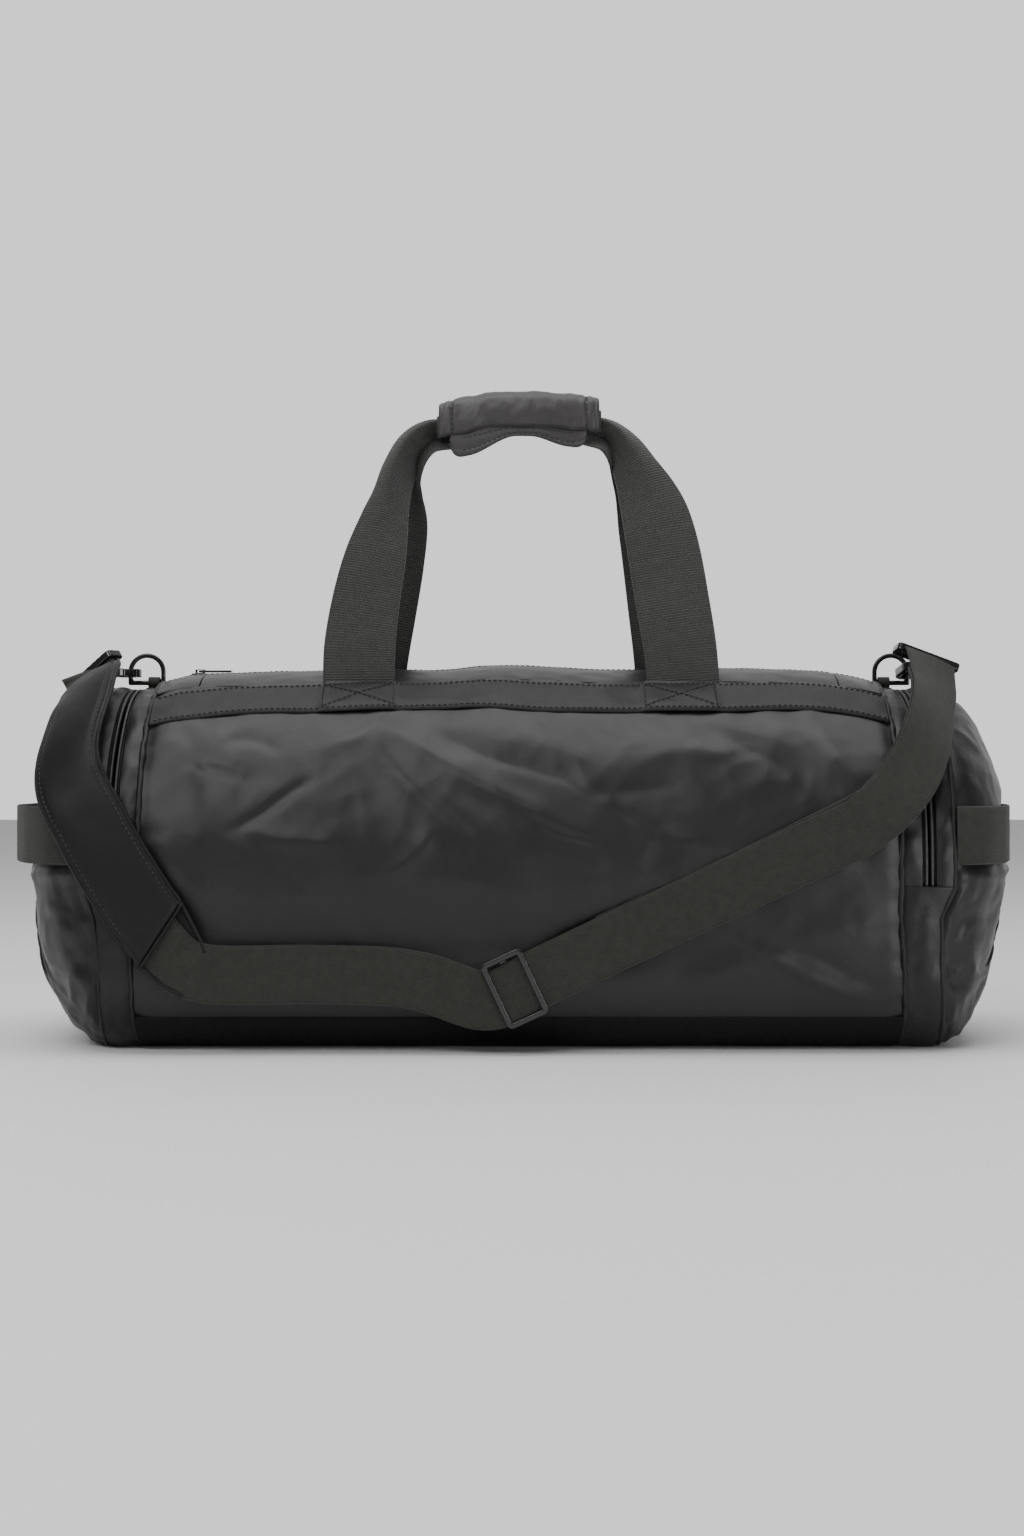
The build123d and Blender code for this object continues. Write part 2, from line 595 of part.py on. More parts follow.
# Points of the strap's middle line and its outward normals, chosen by hand.
LEFT_EYE = Vector(-RING_OUTER, 0, RING_AXIS + HOOK_RISE) + HOOKS["left"][0].normalized() * (EYE_START + EYE_LONG)
RIGHT_EYE = Vector(RING_OUTER, 0, RING_AXIS + HOOK_RISE) + HOOKS["right"][0].normalized() * (EYE_START + EYE_LONG)
PAD_LINE = [
    ((-303, -52, 260), (-0.50, -0.05, 0.85)),
    ((-303, -70, 252), (-0.50, -0.25, 0.80)),
    ((-305, -88, 238), (-0.45, -0.50, 0.72)),
    ((-308, -104, 220), (-0.45, -0.60, 0.62)),
    ((-309.5, -115, 203), (-0.42, -0.70, 0.52)),
    ((-307.5, -127.5, 188), (-0.32, -0.84, 0.40)),
    ((-300, -134, 172.5), (-0.20, -0.93, 0.27)),
    ((-291, -137, 157), (-0.12, -0.96, 0.18)),
    ((-281, -138.2, 139), (-0.05, -0.98, 0.08)),
    ((-270, -138.5, 121), (0, -1, 0.03)),
    ((-259, -138.5, 104), (0, -1, 0)),
    ((-247.5, -138.5, 88), (0, -1, 0)),
    ((-237, -138.5, 74), (0, -1, 0)),
]
PAD_HEADING = (0.6, 0, -0.8)
RIGHT_LINE = [
    (tuple(BEND), (0, -1, 0)),
    ((257, -136.0, 170.5), (0, -0.98, 0.18)),
    ((271, -131.0, 184), (0.03, -0.92, 0.36)),
    ((281, -123.5, 199), (0.08, -0.86, 0.50)),
    ((289, -112.5, 215), (0.14, -0.75, 0.64)),
    ((295, -98.0, 230), (0.20, -0.64, 0.74)),
    ((297, -81.0, 244), (0.25, -0.50, 0.83)),
    ((296.5, -63.0, 257), (0.30, -0.33, 0.89)),
]

with BuildPart() as strap_pad:
    add(ribbon(PAD_LINE, PAD_WIDTH, PAD_THICK, (0, -0.85, -0.53), PAD_HEADING))
write(strap_pad.part, "strap_pad")
# One webbing shows at both ends of the pad: a short end at the left eye, and the long front run.
with BuildPart() as strap_front:
    add(ribbon([(tuple(LEFT_EYE), (-0.45, 0.30, 0.84)), PAD_LINE[0]],
               STRAP, STRAP_THICK, HOOKS["left"][0], (0, -0.85, -0.53)))
    with BuildSketch(Plane.XZ.offset(-FRONT_Y)):
        with BuildLine():
            FilletPolyline(
                (-206, 55), (-150, 55), (-75, 52), (KNEE.X, KNEE.Z), (BEND.X, BEND.Z),
                radius=24,
            )
        trace(line_width=STRAP)
        # Out of the pad the webbing folds flat on itself to turn along the front.
        with BuildLine():
            Polyline((-252.7, 61.6), (-220.7, 85.6), (-205, 75), (-205, 35), (-226, 38), close=True)
        make_face()
    extrude(amount=STRAP_THICK / 2, both=True)
write(strap_front.part, "strap_front")

with BuildPart() as strap_right:
    add(ribbon(RIGHT_LINE + [(tuple(RIGHT_EYE), (0.35, -0.15, 0.92))],
               STRAP, STRAP_THICK, STRAIGHT, (-HOOKS["right"][0])))
write(strap_right.part, "strap_right_end")

# The second layer comes back from the right eye, behind the first.
inner_line = [(tuple(KNEE + STRAIGHT * RETURN_START + Vector(0, LAYER, 0)), (0, -1, 0))]
for point, normal in RIGHT_LINE:
    inner_line.append((tuple(Vector(*point) - Vector(*normal).normalized() * LAYER), normal))
with BuildPart() as strap_return:
    add(ribbon(inner_line, STRAP - 1, STRAP_THICK - 0.2, STRAIGHT, (0.05, 0.78, 0.62)))
write(strap_return.part, "strap_return")

ADJUSTER_AT = KNEE + STRAIGHT * 25
glide = Plane(origin=ADJUSTER_AT, x_dir=STRAIGHT, z_dir=(0, -1, 0))
with BuildPart() as strap_adjuster:
    with BuildSketch(glide.offset(1.2)):
        RectangleRounded(30, STRAP + 8, 4)
        Rectangle(23, STRAP + 1.2, mode=Mode.SUBTRACT)
    extrude(amount=2.2)
    with BuildSketch(glide.offset(-3)):
        for y in (-1, 1):
            with Locations((0, y * (STRAP / 2 + 2.3))):
                Rectangle(22, 3.4)
        Rectangle(4.5, STRAP + 4)
    extrude(amount=1.8)
    with BuildSketch(glide.offset(-1.4)):
        for y in (-1, 1):
            with Locations((0, y * (STRAP / 2 + 2.3))):
                Rectangle(22, 3.4)
    extrude(amount=3)
write(strap_adjuster.part, "strap_adjuster")
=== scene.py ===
"""A black nylon barrel duffel bag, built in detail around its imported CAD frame."""

import math

import bmesh
import bpy
import numpy as np
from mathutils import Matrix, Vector, noise


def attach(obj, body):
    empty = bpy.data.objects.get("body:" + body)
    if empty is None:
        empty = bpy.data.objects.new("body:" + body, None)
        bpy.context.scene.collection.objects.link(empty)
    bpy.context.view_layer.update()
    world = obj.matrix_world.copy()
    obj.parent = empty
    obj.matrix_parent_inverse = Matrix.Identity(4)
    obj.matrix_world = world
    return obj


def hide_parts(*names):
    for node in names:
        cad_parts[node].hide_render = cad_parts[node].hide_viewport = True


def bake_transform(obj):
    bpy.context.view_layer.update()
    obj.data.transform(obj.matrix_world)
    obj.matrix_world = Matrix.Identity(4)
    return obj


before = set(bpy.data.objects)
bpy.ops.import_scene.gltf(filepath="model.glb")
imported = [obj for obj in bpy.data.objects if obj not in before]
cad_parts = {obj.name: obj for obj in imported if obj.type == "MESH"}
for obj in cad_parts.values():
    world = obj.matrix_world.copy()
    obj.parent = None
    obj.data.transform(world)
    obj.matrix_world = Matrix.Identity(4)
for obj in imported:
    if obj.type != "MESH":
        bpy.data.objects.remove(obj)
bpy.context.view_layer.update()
MM = 0.001

# --- sizes, in millimetres, in the frame's axes -------------------------------------------------
TUBE_HALF = 258.0
TUBE_RADIUS = 132.0
TUBE_AXIS = 132.0
END_RADIUS = 125.0
END_AXIS = 125.0
CORNER = 58.0
DOME_START = 297.0
DOME_EDGE = 50.0
ZIP_X = 279.0
GUSSET_EDGE = 295.5
ZIP_END_Z = 113.0
BASE_SEAM = 23.0
HANDLE_X = 113.0
# A texture coordinate of 1 is this long on the cloth.
UV_UNIT = 100.0


# --- small helpers ------------------------------------------------------------------------------
def smooth(t):
    """An eased step: 0 below 0, 1 above 1."""
    t = np.clip(t, 0.0, 1.0)
    return t * t * (3.0 - 2.0 * t)


def unit(v):
    """The same directions, each of length 1."""
    v = np.asarray(v, float)
    return v / np.maximum(np.linalg.norm(v, axis=-1, keepdims=True), 1e-9)


def wobble(x, y, seed, size=40.0):
    """Smooth noise from -1 to 1 over a surface, size millimetres across."""
    x, y = np.broadcast_arrays(np.asarray(x, float), np.asarray(y, float))
    out = np.empty(x.shape)
    flat_x, flat_y, flat = x.ravel(), y.ravel(), out.ravel()
    for i in range(flat.size):
        flat[i] = noise.noise(Vector((flat_x[i] / size, flat_y[i] / size, seed * 7.31)))
    return flat.reshape(x.shape)


def spline(points, count):
    """A smooth line through points: centripetal Catmull-Rom, evenly spaced along its length."""
    p = np.asarray(points, float)
    p = np.vstack([2 * p[0] - p[1], p, 2 * p[-1] - p[-2]])
    fine = []
    for i in range(1, len(p) - 2):
        t = np.linspace(0, 1, 24, endpoint=False)[:, None]
        a, b, c, d = p[i - 1], p[i], p[i + 1], p[i + 2]
        fine.append(0.5 * (2 * b + (c - a) * t + (2 * a - 5 * b + 4 * c - d) * t**2
                           + (3 * b - a - 3 * c + d) * t**3))
    fine = np.vstack(fine + [p[-2:-1]])
    along = np.r_[0, np.cumsum(np.linalg.norm(np.diff(fine[:, :3], axis=0), axis=1))]
    want = np.linspace(0, along[-1], count)
    return np.stack([np.interp(want, along, fine[:, k]) for k in range(fine.shape[1])], 1)


def mesh_object(name, verts, faces, material, uvs=None):
    """A mesh from millimetre points, with smooth shading and one material."""
    mesh = bpy.data.meshes.new(name)
    mesh.from_pydata((np.asarray(verts, float) * MM).tolist(), [], faces)
    mesh.update()
    mesh.polygons.foreach_set("use_smooth", [True] * len(mesh.polygons))
    if uvs is not None:
        layer = mesh.uv_layers.new(name="UVMap")
        index = np.empty(len(mesh.loops), int)
        mesh.loops.foreach_get("vertex_index", index)
        layer.data.foreach_set("uv", np.asarray(uvs, float)[index].ravel())
    mesh.materials.append(material)
    obj = bpy.data.objects.new(name, mesh)
    bpy.context.scene.collection.objects.link(obj)
    return obj


def grid_faces(rows, cols, wrap_rows=False, wrap_cols=False):
    """Four-sided faces between the points of a grid, closed on itself where asked."""
    faces = []
    for i in range(rows if wrap_rows else rows - 1):
        for j in range(cols if wrap_cols else cols - 1):
            a, b = i * cols + j, i * cols + (j + 1) % cols
            c, d = ((i + 1) % rows) * cols + (j + 1) % cols, ((i + 1) % rows) * cols + j
            faces.append((a, d, c, b))
    return faces


def tube_faces(rows, count):
    """Faces of a tube made of rings with count points each, capped at both ends."""
    faces = grid_faces(rows, count, wrap_cols=True)
    faces.append(tuple(range(count)))
    faces.append(tuple(reversed(range((rows - 1) * count, rows * count))))
    return faces


def uv_grid(first, second):
    """Texture places over a grid, from distances in millimetres."""
    return np.stack(np.broadcast_arrays(first / UV_UNIT, second / UV_UNIT), -1)


def facing(flip, points, uvs):
    """A grid and its texture places, with the rows reversed where that turns the faces outward."""
    return (points[::-1], uvs[::-1]) if flip else (points, uvs)


def grid_object(name, points, material, uvs=None, wrap_rows=False, wrap_cols=False):
    """A mesh over a rows x cols grid of points."""
    rows, cols = points.shape[:2]
    flat_uv = None if uvs is None else uvs.reshape(-1, 2)
    return mesh_object(name, points.reshape(-1, 3), grid_faces(rows, cols, wrap_rows, wrap_cols),
                       material, flat_uv)


def apply_modifiers(obj):
    """Replace a mesh by its modified shape."""
    deps = bpy.context.evaluated_depsgraph_get()
    deps.update()
    final = bpy.data.meshes.new_from_object(obj.evaluated_get(deps))
    old = obj.data
    obj.modifiers.clear()
    obj.data = final
    bpy.data.meshes.remove(old)
    return obj


def thicken(obj, thickness, offset=-1.0):
    """Give a surface its cloth's thickness, by default inwards."""
    mod = obj.modifiers.new("thickness", "SOLIDIFY")
    mod.thickness = thickness * MM
    mod.offset = offset
    mod.use_rim = True
    return apply_modifiers(obj)


def subdivide(obj):
    """Smooth a grid by one level, keeping its corners."""
    mod = obj.modifiers.new("smooth", "SUBSURF")
    mod.levels = mod.render_levels = 1
    mod.boundary_smooth = "PRESERVE_CORNERS"
    return apply_modifiers(obj)


# The end seams draw together low down, where the empty bag sags: heights, then how far the binding
# seam and the piping shift outwards there, in mm.
DRAWN_IN = {
    -1: ([0, 60, 92, 112], [5, 5, 4, 0], [-10, -10, -7, 0]),
    1: ([0, 60, 92, 112], [5, 2, 0, 0], [-5, -10, -9, 0]),
}
DRAW_FROM, DRAW_TO = 225.0, 346.0


def draw_in(obj):
    """Shift the low front part of the end seams, with the cloth on both sides of them."""
    flat = np.empty(len(obj.data.vertices) * 3)
    obj.data.vertices.foreach_get("co", flat)
    at = flat.reshape(-1, 3)
    for sign, (heights, seam, piping) in DRAWN_IN.items():
        reach = sign * at[:, 0] / MM
        height = at[:, 2] / MM
        at_seam = np.interp(height, heights, seam)
        at_piping = np.interp(height, heights, piping)
        by_seam = np.interp(reach, [DRAW_FROM, TUBE_HALF, DOME_START, DRAW_TO], [0, 1, 0, 0])
        by_piping = np.interp(reach, [TUBE_HALF, DOME_START, DRAW_TO], [0, 1, 0])
        shift = by_seam * at_seam + by_piping * at_piping
        at[:, 0] += sign * shift * (reach > DRAW_FROM) * MM * smooth((40 - at[:, 1] / MM) / 60)
    obj.data.vertices.foreach_set("co", at.ravel())


def place(obj, body, slot, *nodes):
    """Give a piece its body and hide the CAD nodes it stands in for. The slot argument is not used."""
    if body == "bag" and not obj.name.endswith("_moulded"):
        draw_in(obj)
    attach(obj, body)
    if nodes:
        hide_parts(*nodes)
    return obj


# --- materials ----------------------------------------------------------------------------------
def new_material(name, roughness, specular=0.5, metallic=0.0):
    """A plain Principled material, with its node tree and its shader."""
    material = bpy.data.materials.new(name)
    material.use_nodes = True
    tree = material.node_tree
    shader = tree.nodes["Principled BSDF"]
    shader.inputs["Roughness"].default_value = roughness
    shader.inputs["Specular IOR Level"].default_value = specular
    shader.inputs["Metallic"].default_value = metallic
    return material, tree, shader


def node(tree, kind, **values):
    """A new node with its settings and unlinked inputs filled in."""
    made = tree.nodes.new(kind)
    for key, value in values.items():
        if hasattr(made, key):
            setattr(made, key, value)
        else:
            made.inputs[key.replace("_", " ")].default_value = value
    return made


def mottle(tree, shader, color, spread, size):
    """The base colour, a little lighter and darker in soft patches."""
    place_in = node(tree, "ShaderNodeTexCoord")
    patches = node(tree, "ShaderNodeTexNoise", Scale=1000.0 / size, Detail=4.0, Roughness=0.6)
    tree.links.new(place_in.outputs["Object"], patches.inputs["Vector"])
    ramp = node(tree, "ShaderNodeValToRGB")
    low = [c * (1 - spread) for c in color]
    high = [c * (1 + spread) for c in color]
    ramp.color_ramp.elements[0].position = 0.3
    ramp.color_ramp.elements[1].position = 0.7
    ramp.color_ramp.elements[0].color = (*low, 1)
    ramp.color_ramp.elements[1].color = (*high, 1)
    tree.links.new(patches.outputs["Fac"], ramp.inputs["Fac"])
    tree.links.new(ramp.outputs["Color"], shader.inputs["Base Color"])
    return place_in, ramp


def weave_height(tree, place_in, pitch, ribs):
    """Threads from the surface's own UV, in units of 100 mm: both ways, or mostly across as ribs."""
    turns = 2 * math.pi / (20 * pitch / 100)
    across = node(tree, "ShaderNodeTexWave", Scale=turns, Distortion=0.4, Detail=1.0)
    across.bands_direction = "Y"
    along = node(tree, "ShaderNodeTexWave", Scale=turns * (0.7 if ribs else 0.9), Distortion=0.4,
                 Detail=1.0)
    along.bands_direction = "X"
    for wave in (across, along):
        wave.wave_profile = "SIN"
        tree.links.new(place_in.outputs["UV"], wave.inputs["Vector"])
    both = node(tree, "ShaderNodeMath", operation="MULTIPLY_ADD")
    both.inputs[1].default_value = 0.35 if ribs else 1.0
    tree.links.new(along.outputs["Fac"], both.inputs[0])
    tree.links.new(across.outputs["Fac"], both.inputs[2])
    return both.outputs[0]


def cloth_material(name, color, roughness, pitch, depth, ribs=False, spread=0.12, size=60.0,
                   crumple=0.0, sheen=0.0, specular=0.5):
    """Woven cloth: mottled colour, a woven surface, and fine crumples where it is thin."""
    material, tree, shader = new_material(name, roughness, specular)
    shader.inputs["Sheen Weight"].default_value = sheen
    shader.inputs["Sheen Roughness"].default_value = 0.5
    place_in, _ = mottle(tree, shader, color, spread, size)
    bump = node(tree, "ShaderNodeBump", Strength=depth, Distance=0.0004)
    tree.links.new(weave_height(tree, place_in, pitch, ribs), bump.inputs["Height"])
    if crumple:
        fine = node(tree, "ShaderNodeTexNoise", Scale=38.0, Detail=5.0, Roughness=0.62)
        tree.links.new(place_in.outputs["Object"], fine.inputs["Vector"])
        soft = node(tree, "ShaderNodeBump", Strength=crumple, Distance=0.004)
        tree.links.new(fine.outputs["Fac"], soft.inputs["Height"])
        tree.links.new(soft.outputs["Normal"], bump.inputs["Normal"])
    tree.links.new(bump.outputs["Normal"], shader.inputs["Normal"])
    wear = node(tree, "ShaderNodeTexNoise", Scale=55.0, Detail=3.0, Roughness=0.5)
    tree.links.new(place_in.outputs["Object"], wear.inputs["Vector"])
    shine = node(tree, "ShaderNodeMapRange")
    shine.inputs["To Min"].default_value = roughness - 0.06
    shine.inputs["To Max"].default_value = roughness + 0.06
    tree.links.new(wear.outputs["Fac"], shine.inputs["Value"])
    tree.links.new(shine.outputs["Result"], shader.inputs["Roughness"])
    return material


def hard_material(name, color, roughness, metallic=0.0, coat=0.0):
    """Moulded plastic or enamelled metal: a fine moulded texture, and edges worn a little lighter."""
    material, tree, shader = new_material(name, roughness, 0.5, metallic)
    shader.inputs["Coat Weight"].default_value = coat
    shader.inputs["Coat Roughness"].default_value = 0.12
    place_in, ramp = mottle(tree, shader, color, 0.15, 6.0)
    shape = node(tree, "ShaderNodeNewGeometry")
    edges = node(tree, "ShaderNodeMapRange")
    edges.inputs["From Min"].default_value = 0.52
    edges.inputs["From Max"].default_value = 0.62
    tree.links.new(shape.outputs["Pointiness"], edges.inputs["Value"])
    worn = node(tree, "ShaderNodeMix", data_type="RGBA")
    worn.inputs[7].default_value = (*[min(1.0, c * 3 + 0.03) for c in color], 1)
    tree.links.new(edges.outputs["Result"], worn.inputs[0])
    tree.links.new(ramp.outputs["Color"], worn.inputs[6])
    tree.links.new(worn.outputs[2], shader.inputs["Base Color"])
    grain = node(tree, "ShaderNodeTexNoise", Scale=900.0, Detail=3.0, Roughness=0.6)
    tree.links.new(place_in.outputs["Object"], grain.inputs["Vector"])
    bump = node(tree, "ShaderNodeBump", Strength=0.12, Distance=0.0002)
    tree.links.new(grain.outputs["Fac"], bump.inputs["Height"])
    tree.links.new(bump.outputs["Normal"], shader.inputs["Normal"])
    return material


NYLON = cloth_material("body_nylon", (0.0085, 0.0083, 0.0088), 0.43, 0.5, 0.10, spread=0.10, crumple=0.10,
                       specular=0.45)
END_NYLON = cloth_material("end_nylon", (0.0075, 0.0073, 0.0078), 0.40, 0.5, 0.10, spread=0.12, crumple=0.18,
                           specular=0.4)
TRIM = cloth_material("trim_cloth", (0.0085, 0.0083, 0.0088), 0.5, 0.5, 0.12, spread=0.12, crumple=0.15,
                      specular=0.35)
BASE = cloth_material("base_cloth", (0.003, 0.003, 0.0033), 0.62, 1.1, 0.55, spread=0.45, size=3.0,
                      specular=0.2)
LINING = cloth_material("lining", (0.02, 0.02, 0.021), 0.7, 0.6, 0.2)
HANDLE_WEB = cloth_material("handle_webbing", (0.040, 0.040, 0.038), 0.72, 1.6, 0.5, ribs=True,
                            spread=0.10, size=8.0, sheen=0.15, specular=0.3)
STRAP_WEB = cloth_material("strap_webbing", (0.023, 0.023, 0.0195), 0.75, 1.3, 0.5, ribs=True,
                           spread=0.16, size=5.0, sheen=0.12, specular=0.3)
WRAP = cloth_material("wrap_cloth", (0.034, 0.031, 0.031), 0.46, 0.6, 0.15, spread=0.10, crumple=0.2,
                      sheen=0.1)
PAD = cloth_material("pad_cloth", (0.0060, 0.0055, 0.0062), 0.5, 0.5, 0.10, spread=0.10, crumple=0.12,
                     specular=0.3)
THREAD = cloth_material("thread", (0.030, 0.029, 0.029), 0.6, 0.3, 0.2, spread=0.2, size=2.0)
PLASTIC = hard_material("hardware_plastic", (0.008, 0.008, 0.008), 0.22, coat=0.4)
COIL = hard_material("zip_coil", (0.022, 0.022, 0.023), 0.30, coat=0.2)
TAPE = cloth_material("zip_tape", (0.016, 0.016, 0.017), 0.7, 0.7, 0.3, spread=0.15)
ENAMEL = hard_material("zip_metal", (0.03, 0.03, 0.031), 0.28, metallic=0.6, coat=0.3)


# --- the bag's surface --------------------------------------------------------------------------
# Height of the ridge along the bag: the ends sag a little where the hooks pull.
RIDGE = spline([(-258, 257.5, 0), (-247, 260.5, 0), (-234, 263, 0), (-190, 264.5, 0), (-150, 265.5, 0),
                (-110, 267, 0), (-60, 266, 0), (-20, 269.5, 0), (30, 268, 0), (70, 266, 0), (140, 267.5, 0),
                (205, 266, 0), (234, 263, 0), (247, 260.5, 0), (258, 257.5, 0)], 120)


def section(s, radius, axis, top):
    """Points (y, z) at distances s from the top along the outline, s above 0 to the front."""
    s = np.asarray(s, float)
    side, far = np.sign(s), np.abs(s)
    quarter, wall = math.pi / 2 * radius, axis - CORNER
    bend = math.pi / 2 * CORNER
    y = np.where(far < quarter, radius * np.sin(far / radius), radius)
    z = np.where(far < quarter, axis + (top - axis) * np.cos(far / radius), axis - (far - quarter))
    turn = np.clip((far - quarter - wall) / CORNER, 0, math.pi / 2)
    low = far > quarter + wall
    y = np.where(low, radius - CORNER + CORNER * np.sin(math.pi / 2 - turn), y)
    z = np.where(low, CORNER - CORNER * np.sin(turn), z)
    flat = far - quarter - wall - bend
    y = np.where(flat > 0, radius - CORNER - flat, y)
    return -side * y, z


def on_outline(x, s, lift, radius, axis, top):
    """Points lifted off the outline along its outward normal."""
    x, s, lift = np.broadcast_arrays(np.asarray(x, float), np.asarray(s, float), np.asarray(lift, float))
    y, z = section(s, radius, axis, top)
    y2, z2 = section(s + 0.4, radius, axis, top)
    y1, z1 = section(s - 0.4, radius, axis, top)
    length = np.maximum(np.hypot(y2 - y1, z2 - z1), 1e-9)
    return np.stack([x, y + (z2 - z1) / length * lift, z - (y2 - y1) / length * lift], -1)


def on_tube(x, s, lift=0.0):
    """A point of the main compartment's outside."""
    top = np.interp(np.asarray(x, float), RIDGE[:, 0], RIDGE[:, 1])
    return on_outline(x, s, lift, TUBE_RADIUS, TUBE_AXIS, top)


def on_end(x, s, lift=0.0):
    """A point of the narrower outline between the main compartment and the rounded ends."""
    return on_outline(x, s, lift, END_RADIUS, END_AXIS, END_AXIS + END_RADIUS)


def half_way(radius, axis):
    """Distance along the outline from the top's middle to the base's middle."""
    return math.pi / 2 * (radius + CORNER) + (axis - CORNER) + (radius - CORNER)


def from_top(s, way):
    """Distances all the way round, as distances from the top that are negative behind."""
    return np.where(s > way, s - 2 * way, s)


def down_to(z, radius, axis):
    """Distance along the outline from the top's middle to a height on the lower half."""
    quarter, wall = math.pi / 2 * radius, axis - CORNER
    if z > CORNER:
        return quarter + axis - z
    return quarter + wall + CORNER * math.asin((CORNER - z) / CORNER)


TUBE_LOW = down_to(BASE_SEAM, TUBE_RADIUS, TUBE_AXIS)
TUBE_WAY = half_way(TUBE_RADIUS, TUBE_AXIS)
END_WAY = half_way(END_RADIUS, END_AXIS)
END_ZIP_LOW = down_to(ZIP_END_Z, END_RADIUS, END_AXIS)


# --- strips and rolls ---------------------------------------------------------------------------
def frames(stations, step):
    """Evenly spaced points of a line, with the directions along it, out of it and across it."""
    rows = np.array([(*point, *normal) for point, normal in stations], float)
    length = np.linalg.norm(np.diff(rows[:, :3], axis=0), axis=1).sum()
    line = spline(rows, max(4, int(length / step)))
    along = unit(np.gradient(line[:, :3], axis=0))
    out = line[:, 3:6]
    out = unit(out - along * (out * along).sum(1, keepdims=True))
    return line[:, :3], along, out, np.cross(out, along)


def lengths(points):
    """How far along a line each of its points lies."""
    return np.r_[0, np.cumsum(np.linalg.norm(np.diff(points, axis=0), axis=1))]


def ribbon(name, middle, out, across, width, thick, material, cols=14, rib=0.0, depth=0.0, crown=0.0,
           bend=None):
    """A strip of webbing or binding with rolled edges, and ribs that run across it."""
    rows = len(middle)
    width = np.broadcast_to(np.asarray(width, float), rows)[:, None]
    run = lengths(middle)[:, None]
    u = np.linspace(-1, 1, cols)
    place_u = np.r_[u, 1.0, u[::-1], -1.0][None, :]
    face = np.r_[np.ones(cols), 0.0, -np.ones(cols), 0.0][None, :]
    flat = (width / 2 - thick / 2) * place_u
    flat = np.where(face == 0, place_u * width / 2, flat)
    high = face * (thick / 2)
    if rib:
        high = high + face * depth * (np.sin(2 * math.pi * run / rib) - 1) / 2
    if crown:
        high = high + crown * (1 - place_u**2)
    if bend is not None:
        high = high + bend(run, flat)
    points = middle[:, None] + across[:, None] * flat[..., None] + out[:, None] * high[..., None]
    uvs = uv_grid(run, flat + face * 200)
    count = points.shape[1]
    return mesh_object(name, points.reshape(-1, 3), tube_faces(rows, count), material, uvs.reshape(-1, 2))


def roll(name, middle, radius, material, sides=8, pucker=0.0, pitch=9.0, closed=False, seed=1):
    """A round cord, piping or rolled edge along a line, with small puckers where it is sewn."""
    middle = np.asarray(middle, float)
    rows = len(middle)
    if closed:
        along = unit(np.roll(middle, -1, 0) - np.roll(middle, 1, 0))
    else:
        along = unit(np.gradient(middle, axis=0))
    guide = np.where(np.abs(along[:, [0]]) < 0.8, [[1.0, 0, 0]], [[0, 0, 1.0]])
    first = unit(np.cross(along, guide))
    second = np.cross(along, first)
    run = lengths(middle)
    thick = radius * (1 + pucker * wobble(run, run * 0, seed, pitch))
    turn = np.linspace(0, 2 * math.pi, sides, endpoint=False)
    points = (middle[:, None] + first[:, None] * (np.cos(turn)[None, :, None] * thick[:, None, None])
              + second[:, None] * (np.sin(turn)[None, :, None] * thick[:, None, None]))
    uvs = uv_grid(run[:, None], turn[None, :] * radius)
    faces = grid_faces(rows, sides, True, True) if closed else tube_faces(rows, sides)
    return mesh_object(name, points.reshape(-1, 3), faces, material, uvs.reshape(-1, 2))


STITCH, GAP = 2.6, 1.3


def stitches(name, lines, material=None, thread=0.45, rise=0.3):
    """Rows of sewn thread over lines of points and outward normals."""
    verts, faces = [], []
    ring = np.linspace(0, 2 * math.pi, 5, endpoint=False)
    for points, normals in lines:
        points, normals = np.asarray(points, float), unit(normals)
        run = lengths(points)
        for start in np.arange(GAP, run[-1] - STITCH, STITCH + GAP):
            at = np.linspace(start, start + STITCH, 4)
            middle = np.stack([np.interp(at, run, points[:, k]) for k in range(3)], 1)
            out = unit(np.stack([np.interp(at, run, normals[:, k]) for k in range(3)], 1))
            middle = middle + out * np.array([-0.35, rise, rise, -0.35])[:, None]
            ahead = unit(middle[-1] - middle[0])
            aside = np.cross(out, ahead)
            base = len(verts)
            for m, o, a in zip(middle, out, aside):
                verts.extend(m + thread * (math.cos(t) * o + math.sin(t) * a) for t in ring)
            for i in range(3):
                for j in range(5):
                    k = (j + 1) % 5
                    faces.append((base + i * 5 + j, base + i * 5 + k, base + i * 5 + 5 + k,
                                  base + i * 5 + 5 + j))
    return mesh_object(name, verts, faces, material or THREAD)


def sewn_row(surface, x0, s0, x1, s1, lift=0.0):
    """A straight row of sewing between two places of a surface."""
    t = np.linspace(0, 1, max(3, int(math.hypot(x1 - x0, s1 - s0) / 3)))
    x, s = x0 + (x1 - x0) * t, s0 + (s1 - s0) * t
    points = surface(x, s, lift)
    return points, unit(surface(x, s, lift + 1.0) - points)


# --- folds and crumples -------------------------------------------------------------------------
def creases(x, z, lines):
    """Soft ridges and valleys along lines (x0, z0, x1, z1, width, height) as seen from the front."""
    total = np.zeros(np.broadcast(x, z).shape)
    for x0, z0, x1, z1, width, height in lines:
        dx, dz = x1 - x0, z1 - z0
        length = math.hypot(dx, dz)
        t = ((x - x0) * dx + (z - z0) * dz) / length**2
        off = ((x - x0) * -dz + (z - z0) * dx) / length
        off = off + 2.5 * np.sin(t * 5 + x0)
        ends = smooth((t + 0.15) / 0.45) * smooth((1.15 - t) / 0.45)
        shape = np.exp(-(off / width) ** 2) * np.where(off > 0, 1.0, np.exp(off / width / 1.5))
        total = total + height * ends * shape
    return total


